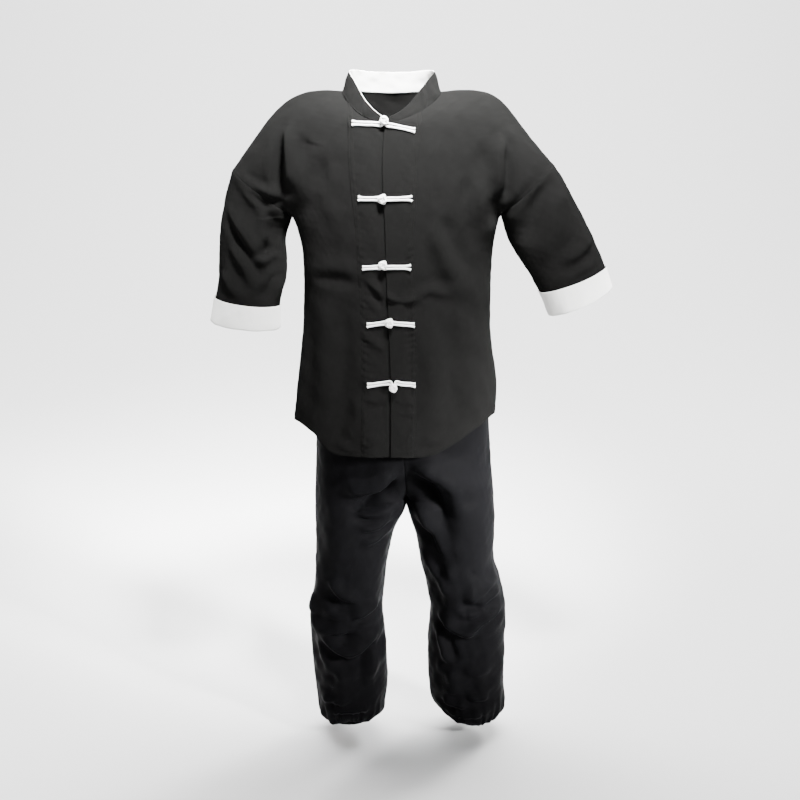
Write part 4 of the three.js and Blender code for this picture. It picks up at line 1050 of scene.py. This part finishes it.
def sleeve_cloth(side):
    base = sleeve(side, SLEEVE_ROWS, SLEEVE_COLUMNS)
    normals = grid_normals(base, base - base.mean(axis=1, keepdims=True), wraps=True)
    normals[0] = unit(base[0] - ring_frame(side, 0)[0])
    start, _, top, hem = distances(base)
    push = jacket_wrinkles(base, normals) * (0.04 + 0.96 * smooth((hem - CUFF_HEIGHT) / 30))
    outer = sew(base, normals, push, [(top, start)])
    from_seam = np.minimum(start, start[:, -1:] - start)
    outer -= normals * bell(from_seam, GROOVE_WIDTH)[..., None]
    return outer, outer - normals * WALL, normals


def band_cloth(side):
    """The stitched facing: a strip laid on the front along its edge."""
    base = calmed(jacket_front(side, BAND_ROWS, BAND_COLUMNS, band=True), BAND_CALMING)
    normals = grid_normals(base, vec(0, -1, 0.3))
    push = jacket_wrinkles(base, normals)
    start, end, hem, _ = distances(base)
    push = lapped(push, start, side)
    line = (hem + 0.35 * end) / 2.7 + 2.2 * np.sin(hem / 37) + 1.3 * np.sin(hem / 13)
    uneven = 0.55 + 0.45 * np.sin(hem / 29 + 1.9 * np.sin(hem / 71))
    lower = smooth((-230 - base[..., 2]) / 120)
    puckers = np.sin(line) * uneven * (bell(end - 7, 9) + 0.35 * bell(end - 18, 12) * lower)
    shown = smooth((start - UNDERLAP) / 8) if side == "right" else 1
    push = push + 0.45 + (1.2 * smooth(end / 7) + (0.25 + 0.35 * lower) * puckers) * shown
    for depth, place in zip((0.7, 0.5), BAND_STITCHES):
        push -= depth * bell(end - place, 1.6)
    outer = base + normals * push[..., None]
    return outer, outer - normals * BAND_WALL, normals


# The turned-back ends, the collar and the frogs
CUFF_WALL = 1.2
COLLAR_WALL = 1.2
LINING_WALL = 1.0
RISE_PLACES = [0, 4, 7, 9, 14]
LINING_RISES = [0.7, 1.0, 1.2, 0.4, -1.4]
CORD_RADIUS = 2.3
CORD_STEPS = 170
CUFF_ROWS = 14
CUFF_OUT = LAY_GAP + CUFF_WALL + 1.6
CUFF_IN = -WALL - LAY_GAP - 2.2
CUFF_EDGE = 2.6


def cuff_cloth(side):
    """A white strip folded up round the sleeve's end: outside, round the edge and inside."""
    first = cuff_start(side)
    climb = sleeve(side, CUFF_ROWS, SLEEVE_COLUMNS, first, LAST_RING, CUFF_OUT)
    back = sleeve(side, CUFF_ROWS, SLEEVE_COLUMNS, first, LAST_RING, CUFF_IN)
    down = unit(ring_frame(side, LAST_RING)[0] - ring_frame(side, first)[0])
    turn = []
    for angle in np.linspace(0, math.pi, 7)[1:-1]:
        share = (1 + math.cos(angle)) / 2
        lift = CUFF_IN + (CUFF_OUT - CUFF_IN) * share
        ring = sleeve(side, 1, SLEEVE_COLUMNS, LAST_RING - 0.001, LAST_RING, lift)[-1]
        turn.append(ring + down * math.sin(angle) * CUFF_EDGE)
    base = np.concatenate([climb, np.array(turn), back[::-1]])
    normals = grid_normals(base, base - base.mean(axis=1, keepdims=True), wraps=True)
    return base, normals


def cuff_piece(side):
    base, normals = cuff_cloth(side)
    _, _, top, _ = distances(base)
    rows = len(base)
    outside = np.arange(rows)[:, None] < rows / 2
    sign = np.where(outside, 1, -1)
    soft = 0.8 * ripple(base, 55, 31) + 0.3 * ripple(base, 20, 32)
    line = 0.5 * bell(top - CUFF_STITCHES, 1.5) * outside
    outer = base + normals * (soft * sign - line)[..., None]
    inner = outer - normals * CUFF_WALL * 0.7
    lay_cloth("cuff_" + side, outer, inner, WHITE_COTTON, True)
    return outer, normals


def collar_sheet(inward, rises, fall, steps=150, rows=16):
    """The collar as a grid, from the neck seam up; fall carries it down past the seam."""
    grid = []
    for share in np.linspace(0, 1, rows + 1):
        line = []
        for place in np.linspace(0, 14, steps + 1):
            side = "right" if place <= 7 else "left"
            step = place if place <= 7 else 14 - place
            point = NECK[side].point(step)
            near_front = bell(step, 0.35)
            point[0] += (-2 if side == "right" else 2) * near_front
            to_centre = unit(vec(-point[0], -point[1], 0))
            lean = COLLAR.at("lean", step)
            up = unit(vec(0, 0, 1) + to_centre * lean)
            level = unit(to_centre - vec(0, 0, lean))
            height = COLLAR.at("height", step) + np.interp(place, RISE_PLACES, rises)
            climbed = -fall + share * (height + fall)
            roll = 1.2 * smooth((share - 0.8) / 0.2) ** 2
            line.append(point + up * climbed + level * (inward if inward else roll))
        grid.append(line)
    return np.array(grid)


def collar_pieces():
    outer = collar_sheet(0, [0] * len(RISE_PLACES), 2.5)
    normals = grid_normals(outer, (outer - outer.mean(axis=(0, 1))) * vec(1, 1, 0))
    start, end, foot, top = distances(outer)
    crease = (
        3.2 * bell(start - 46, 5) * smooth(1.2 - foot / 34)
        - 2.2 * bell(start - 58, 6)
        + 3.6 * bell(end - 92 - 0.25 * foot, 5)
        - 2.6 * bell(end - 106 - 0.2 * foot, 7)
        + 2.0 * bell(end - 128, 8)
    )
    hold = smooth(foot / 9)
    push = (crease + 0.9 * ripple(outer, 42, 21) + 0.35 * ripple(outer, 17, 22)) * hold
    stitch = 0.55 * bell(top - 4, 1.3) + 0.55 * bell(foot - 6, 1.3)
    shaped = outer + normals * (push - stitch)[..., None]
    within = shaped - normals * COLLAR_WALL
    lay_cloth("collar_outer", shaped, within, BLACK_COTTON)
    inner = collar_sheet(COLLAR_WALL + LAY_GAP, LINING_RISES, 1.0)
    moved_in = inner + normals * (push * 0.9)[..., None]
    within = moved_in - normals * LINING_WALL
    lay_cloth("collar_lining", moved_in, within, WHITE_COTTON)


# The trousers' cloth
LEG_GRID_ROWS = 230
LEG_GRID_COLUMNS = 64
LEG_CALMING = 14
CASING_COLUMNS = 240
CASING_WALL = 2.2
TUCKED_IN = 2.2
GATHERS_HEIGHT = 105
UNDER_JACKET_Z = -690
LOWER_LEG_Z = -900


def leg_middle(side, z):
    share = smooth((WAIST_Z - z) / (WAIST_Z - CROTCH_Z))
    inner = LEGS[side].at("inner", z)
    return inner + (LEGS[side].at("outer", z) - inner) * 0.5 * share


def trouser_cloth(side, away):
    sign = -1 if side == "right" else 1
    base = calmed(trouser_panel(side, away, LEG_GRID_ROWS, LEG_GRID_COLUMNS), LEG_CALMING)
    middle = np.array([[leg_middle(side, point[2]) for point in row] for row in base])
    outward = np.stack([base[..., 0] - middle, base[..., 1] * 1.2, 0 * middle], axis=-1)
    normals = grid_normals(base, outward)
    rows = np.linspace(0, SEAT_ROWS + LEG_ROWS, LEG_GRID_ROWS + 1)
    for index, row in enumerate(rows):
        normals[index, -1] = vec(sign, 0, 0)
        if row >= SEAT_ROWS + 0.5:
            normals[index, 0] = vec(-sign, 0, 0)
            continue
        along = crotch_point(away, min(row + 0.4, SEAT_ROWS)) - crotch_point(away, max(row - 0.4, 0))
        normals[index, 0] = unit(vec(0, -along[2] * away, along[1] * away))
    facing = normals[..., 1]
    push = fold_push(base, -facing, FRONT_LEG_FOLDS) + fold_push(base, facing, BACK_LEG_FOLDS)
    down = smooth((LOWER_LEG_Z - base[..., 2]) / 250)
    for height, more_below, wavelength, seed, stretch in LEG_RIPPLES:
        swell = ripple(base * vec(1, 1, stretch), wavelength, seed)
        push += (height + more_below * down) * swell
    start, end, top, hem = distances(base)
    # the cloth lies smooth and further in under the jacket
    shown = smooth((UNDER_JACKET_Z - base[..., 2]) / 60)
    push = push * shown - TUCKED_IN * (1 - shown) * smooth((top - 20) / 60)
    turn = np.arctan2(-base[..., 1] * away, base[..., 0] - middle)
    waves = np.sin(19 * turn * away + 1.4 * np.sin(5 * turn + 1) + 0.9 * np.sin(8 * turn))
    waves += 0.5 * np.sin(33 * turn + 1.2 * np.sin(6 * turn))
    push += 2.6 * waves * (1 - smooth(hem / GATHERS_HEIGHT)) * smooth(hem / 9)
    waist_waves = np.sin(start / 5.5 + 2 * np.sin(start / 33))
    push += 1.2 * waist_waves * (1 - smooth(top / 60))
    outer = sew(base, normals, push, [(start, top), (end, top)])
    return outer, outer - normals * WALL, base


def trouser_pieces():
    ends = {}
    for side in ("right", "left"):
        for name, away in (("front", -1), ("back", 1)):
            outer, inner, base = trouser_cloth(side, away)
            node = "trouser_%s_%s" % (name, side)
            lay_cloth(node, outer, inner, TROUSER_COTTON)
            ends[name, side] = (base[0], base[-1])
    return ends


def casing(node, ring, low, high, grow, gathers):
    """An elastic casing: a gathered band round a ring of points."""
    length = lengths_along(ring)
    places = np.linspace(0, length[-1], CASING_COLUMNS + 1)[:-1]
    ring = at_lengths(places, length, ring)
    centre = ring.mean(axis=0)
    out = unit((ring - centre) * vec(1, 1, 0))
    turn = np.arange(CASING_COLUMNS) * 2 * np.pi / CASING_COLUMNS
    rows = []
    for rise in np.linspace(low, high, 11):
        bulge = math.sin(math.pi * (rise - low) / (high - low))
        waves = np.sin(gathers * turn + 1.3 * np.sin(7 * turn) + 0.05 * rise)
        away = grow + 1.2 * bulge + 0.9 * waves * (0.5 + 0.5 * bulge)
        rows.append(ring + out * away[:, None] + vec(0, 0, rise))
    outer = np.array(rows)
    inner = outer - out[None] * CASING_WALL
    lay_cloth(node, outer, inner, TROUSER_COTTON, wraps=True)


def casings(ends):
    waist = [
        ends["front", "right"][0],
        ends["back", "right"][0][::-1],
        ends["back", "left"][0],
        ends["front", "left"][0][::-1],
    ]
    ring = np.concatenate(waist + [waist[0][:1]])
    casing("waistband", ring, 0.3, 38, 0.6, 64)
    for side in ("right", "left"):
        front, back = ends["front", side][1], ends["back", side][1]
        ring = np.concatenate([front, back[::-1]])
        casing("ankle_casing_" + side, ring, -2, 18, -1.5, 34)


# Frogs: for each, its height, the ends of its cords, its knot's place and size, how its cords
# slope, how far its loop shows round the knot, and how far the cords' cut ends splay
FROGS = Table(
    "number z right left knotX rise size slopeRight slopeLeft eye splayRight splayLeft",
    (1, -44, -80, 46, -16, 8, 19, 2, -12, 5, 0.9, 0.8),
    (2, -189, -68, 40, -19, 0, 18, 1, 1, 8.2, 0.7, 2.0),
    (3, -326, -60, 38, -18, 4, 17, -2, -1, 7.8, 0.4, 2.4),
    (4, -442, -52, 46, -6, 0, 18, -5, -5, 8.2, 0.8, 0.6),
    (5, -568, -52, 48, 2, -10, 18, -6, -6, 5, 0.6, 0.5),
)
KNOT_DEPTH = 0.75
KNOT_CORD = 2.15
KNOT_LIFT = 0.5


class FrontFinder:
    """Finds how far forward the finished fronts and bands reach at a place."""

    def __init__(self, grids):
        vertices, faces = [], []
        for grid in grids:
            rows, columns = grid.shape[:2]
            numbers = np.arange(rows * columns).reshape(rows, columns) + len(vertices)
            vertices += grid.reshape(-1, 3).tolist()
            quads = [numbers[:-1, :-1], numbers[:-1, 1:], numbers[1:, 1:], numbers[1:, :-1]]
            faces += np.stack(quads, axis=-1).reshape(-1, 4).tolist()
        self.tree = BVHTree.FromPolygons(vertices, faces)

    def at(self, x, z):
        found = self.tree.ray_cast(Vector((x, -400, z)), Vector((0, 1, 0)))[0]
        return found.y if found else None

    def least(self, x, z, radius):
        places = [(x + i * radius, z + j * radius) for i in (-1, 0, 1) for j in (-1, 0, 1)]
        return min(y for y in (self.at(*place) for place in places) if y is not None)


def tube(path, radius, sides=12, closed=False):
    """Points and faces of a round cord along a path, cut square where it isn't closed."""
    path = np.asarray(path, float)
    if closed:
        ahead = unit(np.roll(path, -1, axis=0) - np.roll(path, 1, axis=0))
    else:
        ahead = unit(np.gradient(path, axis=0))
    up = unit(np.cross(ahead[0], vec(0.3, 0.9, 0.2)))
    frames = []
    for direction in ahead:
        up = unit(up - direction * (up @ direction))
        frames.append((up, np.cross(direction, up)))
    turn = np.arange(sides) * 2 * np.pi / sides
    radii = np.broadcast_to(np.asarray(radius, float), len(path))
    rings = [
        point + r * (np.cos(turn)[:, None] * a + np.sin(turn)[:, None] * b)
        for point, r, (a, b) in zip(path, radii, frames)
    ]
    vertices = np.concatenate(rings)
    faces = []
    spans = len(path) if closed else len(path) - 1
    for ring in range(spans):
        after = (ring + 1) % len(path)
        for side in range(sides):
            beside = (side + 1) % sides
            here, there = ring * sides, after * sides
            faces.append([here + side, here + beside, there + beside, there + side])
    if not closed:
        faces.append(list(range(sides))[::-1])
        faces.append(list(range((len(path) - 1) * sides, len(path) * sides)))
    flat = np.broadcast_arrays(turn[None] * CORD_RADIUS, lengths_along(path)[:, None])
    uvs = np.stack(flat, axis=-1).reshape(-1, 2)
    return vertices, faces, uvs


def join_tubes(name, tubes, material):
    vertices, faces, uvs, count = [], [], [], 0
    for points, quads, flat in tubes:
        vertices.append(points)
        uvs.append(flat)
        faces += [[number + count for number in quad] for quad in quads]
        count += len(points)
    return build_mesh(name, np.concatenate(vertices), faces, material, np.concatenate(uvs))


def knot_tubes(centre, radius, turn):
    """A button knot: one cord that goes three times round a ball, over and under itself."""
    t = np.linspace(0, 2 * np.pi, 181)[:-1]
    longitude = 3 * t + turn
    latitude = np.radians(52) * np.cos(4 * t)
    reach = radius - KNOT_CORD + 0.8 * np.sin(8 * t + 0.6)
    x = np.cos(latitude) * np.cos(longitude)
    z = np.cos(latitude) * np.sin(longitude)
    y = np.sin(latitude)
    path = centre + np.stack([x, y * KNOT_DEPTH, z * 1.05], axis=1) * reach[:, None]
    return tube(path, KNOT_CORD, sides=10, closed=True)


def ball(centre, radius, rings=14, sides=22):
    """The hidden middle of a knot."""
    vertices, faces = [], []
    for ring in range(rings + 1):
        high = math.pi * ring / rings
        for side in range(sides):
            turn = 2 * math.pi * side / sides
            level = math.sin(high) * radius
            away = (level * math.cos(turn), math.cos(high) * KNOT_DEPTH * radius, level * math.sin(turn))
            vertices.append(centre + vec(*away))
    for ring in range(rings):
        for side in range(sides):
            beside = (side + 1) % sides
            low, high = ring * sides, (ring + 1) * sides
            faces.append([low + side, low + beside, high + beside, high + side])
    vertices = np.array(vertices)
    return vertices, faces, vertices[:, :2]


def frog(number, finder):
    z, knot_x = FROGS.at("z", number), FROGS.at("knotX", number)
    knot_z = z + FROGS.at("rise", number)
    radius, eye = FROGS.at("size", number) / 2, FROGS.at("eye", number)
    draw = np.random.default_rng(60 + number)
    knot_y = finder.least(knot_x, knot_z, 6) - KNOT_LIFT - radius * KNOT_DEPTH
    centre = vec(knot_x, knot_y, knot_z)
    neck = knot_y + radius * 0.42

    def bar(end_x, slope, from_x, splay, round_knot):
        lines = []
        for which in (1, -1):
            places = []
            for share in (0, 0.25, 0.5, 0.75, 0.92, 1):
                x = from_x + (end_x - from_x) * share
                spread = (CORD_RADIUS + 0.15) * (1 + 0.12 * share**3 + 0.3 * (1 - share) ** 6)
                spread += splay * share**12
                height = z + slope * share + which * spread + draw.uniform(-0.25, 0.25)
                lift = CORD_RADIUS * 0.92 + 1.2 * (1 - share) ** 3
                places.append([x, finder.least(x, height, CORD_RADIUS) - lift, height])
            lines.append(places)
        path = smooth_line(lines[0][::-1] + round_knot + lines[1], CORD_STEPS, 1e-6)
        from_end = np.minimum(np.arange(CORD_STEPS), np.arange(CORD_STEPS)[::-1])
        thick = CORD_RADIUS * np.interp(from_end, [0, 1, 6, 14, 30], [1.06, 1.2, 1.16, 1.04, 0.98])
        return tube(path, thick, sides=14)

    buried = [[knot_x, knot_y + radius * 0.2, knot_z]]
    eye_round = [
        [knot_x + 0.4 * eye, neck, knot_z + eye],
        [knot_x - 0.85 * eye, neck, knot_z + 0.5 * eye],
        [knot_x - 0.85 * eye, neck, knot_z - 0.5 * eye],
        [knot_x + 0.4 * eye, neck, knot_z - eye],
    ]
    ends = {side: FROGS.at(side.lower(), number) for side in ("Right", "Left")}
    slopes = {side: FROGS.at("slope" + side, number) for side in ends}
    splays = {side: FROGS.at("splay" + side, number) for side in ends}
    right = bar(ends["Right"], slopes["Right"], knot_x - 5, splays["Right"], buried)
    left = bar(ends["Left"], slopes["Left"], knot_x + 6, splays["Left"], eye_round)
    dress(join_tubes("frog_cord_%d_cord" % number, [right], WHITE_CORD), "frog_cord_%d" % number)
    dress(join_tubes("frog_loop_%d_cord" % number, [left], WHITE_CORD), "frog_loop_%d" % number)
    knot = [knot_tubes(centre, radius, 0.7 * number), ball(centre, radius - 2.6)]
    dress(join_tubes("frog_knot_%d_cord" % number, knot, WHITE_CORD), "frog_knot_%d" % number)


# Topstitching: short thread dashes, joined in one mesh for each line
def stitch_line(name, places, normals, material, pitch=3.3, dash=2.1, radius=0.32, lift=0.12):
    """Dashes along a run of places on the cloth."""
    along = lengths_along(places)
    starts = np.arange(2, along[-1] - dash, pitch)
    vertices, faces = [], []
    outward = unit(at_lengths(starts, along, normals))
    begin = at_lengths(starts, along, places) + outward * lift
    middle = at_lengths(starts + dash / 2, along, places) + outward * (lift + radius)
    end = at_lengths(starts + dash, along, places) + outward * lift
    aside = unit(np.cross(end - begin, outward)) * radius
    for i in range(len(starts)):
        first = len(vertices)
        vertices += [begin[i], middle[i] + aside[i], middle[i] - aside[i], end[i]]
        vertices += [middle[i] + outward[i] * radius]
        faces += [
            [first, first + 1, first + 4],
            [first, first + 4, first + 2],
            [first + 1, first + 3, first + 4],
            [first + 4, first + 3, first + 2],
        ]
    dress(build_mesh(name, np.array(vertices), faces, material))


def along_column(outer, normals, distance):
    """The run of places at a distance in from a grid's first column."""
    across = reach_along(outer, 1)
    run, facing = [], []
    for row in range(len(outer)):
        where = [distance if np.isscalar(distance) else distance[row]]
        run.append(at_lengths(where, across[row], outer[row])[0])
        facing.append(at_lengths(where, across[row], normals[row])[0])
    return np.array(run), np.array(facing)


def along_row(outer, normals, distance):
    """The run of places at a distance up from a grid's first row."""
    return along_column(outer.transpose(1, 0, 2), normals.transpose(1, 0, 2), distance)


# Put the jacket together
def jacket():
    grids = []
    for side in ("right", "left"):
        outer, inner, normals = jacket_front_cloth(side)
        lay_cloth("jacket_front_" + side, outer, inner, BLACK_COTTON)
        grids.append(outer)
        for name, place in HEM_STITCHES.items():
            stitch_line("%s_front_%s" % (name, side), *along_row(outer, normals, place), BLACK_THREAD)
        outer, inner, normals = band_cloth(side)
        lay_cloth("front_band_" + side, outer, inner, BLACK_COTTON)
        grids.append(outer)
        width = reach_along(outer, 1)[:, -1]
        for number, place in enumerate(BAND_STITCHES):
            run = along_column(outer, normals, width - place)
            stitch_line("band_stitches_%s_%d" % (side, number), *run, BLACK_THREAD)
        stitch_line("edge_stitches_" + side, *along_column(outer, normals, EDGE_STITCHES), BLACK_THREAD)
    outer, inner, normals = jacket_back_cloth()
    lay_cloth("jacket_back", outer, inner, BLACK_COTTON)
    back_line = along_row(outer, normals, HEM_STITCHES["hem_stitches"])
    stitch_line("hem_stitches_back", *back_line, BLACK_THREAD)
    for side in ("right", "left"):
        outer, inner, normals = sleeve_cloth(side)
        lay_cloth("sleeve_" + side, outer, inner, BLACK_COTTON, wraps=True)
        sleeve_line = along_row(outer, normals, SLEEVE_STITCHES)
        stitch_line("sleeve_stitches_" + side, *sleeve_line, BLACK_THREAD)
        outer, normals = cuff_piece(side)
        stitch_line("cuff_stitches_" + side, *along_row(outer, normals, CUFF_STITCHES), WHITE_THREAD)
    collar_pieces()
    finder = FrontFinder(grids)
    for number in range(1, 6):
        frog(number, finder)


jacket()
casings(trouser_pieces())


# The floor, the light and the camera
def backdrop():
    """A pale floor that curves up into a wall behind the uniform."""
    wide, front, back, tall, radius = 14, -8, 5.5, 9, 2.5
    section = [(front, 0)]
    for step in range(13):
        turn = math.radians(90 * step / 12)
        section.append((back - radius + radius * math.sin(turn), radius - radius * math.cos(turn)))
    section.append((back, tall))
    vertices = [(x, y, z + FLOOR_Z * MM) for y, z in section for x in (-wide, wide)]
    faces = [(2 * i, 2 * i + 1, 2 * i + 3, 2 * i + 2) for i in range(len(section) - 1)]
    mesh = bpy.data.meshes.new("backdrop")
    mesh.from_pydata(vertices, [], faces)
    mesh.polygons.foreach_set("use_smooth", [True] * len(mesh.polygons))
    mesh.materials.append(plain("backdrop_paper", (0.9, 0.9, 0.9), 0.9))
    thing = bpy.data.objects.new("backdrop", mesh)
    bpy.context.scene.collection.objects.link(thing)


def lamp(name, place, target, width, height, power, spread):
    light = bpy.data.lights.new(name, "AREA")
    light.shape = "RECTANGLE"
    light.size, light.size_y = width, height
    light.energy = power
    light.spread = math.radians(spread)
    thing = bpy.data.objects.new(name, light)
    thing.location = place
    thing.rotation_euler = (Vector(target) - Vector(place)).to_track_quat("-Z", "Y").to_euler()
    bpy.context.scene.collection.objects.link(thing)


# Lamps: place and target in metres, width, height, watts, and how wide they spread in degrees
LAMPS = {
    "key": ((0.3, -1.05, 1.45), (0.07, 0, 0.2), 0.4, 0.35, 35, 36),
    "side": ((1.85, -1.5, 0.1), (0.28, 0, -0.84), 0.5, 0.5, 11, 20),
    "fill": ((-2.0, -1.6, 1.0), (-0.1, 0, 0.1), 0.8, 0.8, 2, 36),
    "back": ((2.2, 2.4, 1.1), (0, 0, -0.3), 1.0, 1.0, 24, 50),
    "backdrop_light": ((0, 1.2, 3.6), (0, 3.6, -0.6), 5, 2, 900, 180),
    "floor_light": ((0, 0.9, 4.5), (0, 0.6, -1.45), 5, 3, 260, 180),
}
WORLD_STRENGTH = 0.085
CAMERA_PLACE = (0.016, -2.8, 0.15)
CAMERA_TILT = math.radians(74.209)
CAMERA_LENS = 59.96
CAMERA_SENSOR = 36


def studio():
    scene = bpy.context.scene
    scene.world = scene.world or bpy.data.worlds.new("studio")
    scene.world.use_nodes = True
    background = scene.world.node_tree.nodes["Background"]
    set_inputs(background, {"Color": (1, 1, 1, 1), "Strength": WORLD_STRENGTH})
    for name, settings in LAMPS.items():
        lamp(name, *settings)
    camera = bpy.data.cameras.new("camera")
    camera.sensor_width = CAMERA_SENSOR
    camera.lens = CAMERA_LENS
    thing = bpy.data.objects.new("camera", camera)
    thing.location = CAMERA_PLACE
    thing.rotation_euler = (CAMERA_TILT, 0, 0)
    scene.collection.objects.link(thing)
    scene.camera = thing


backdrop()
studio()
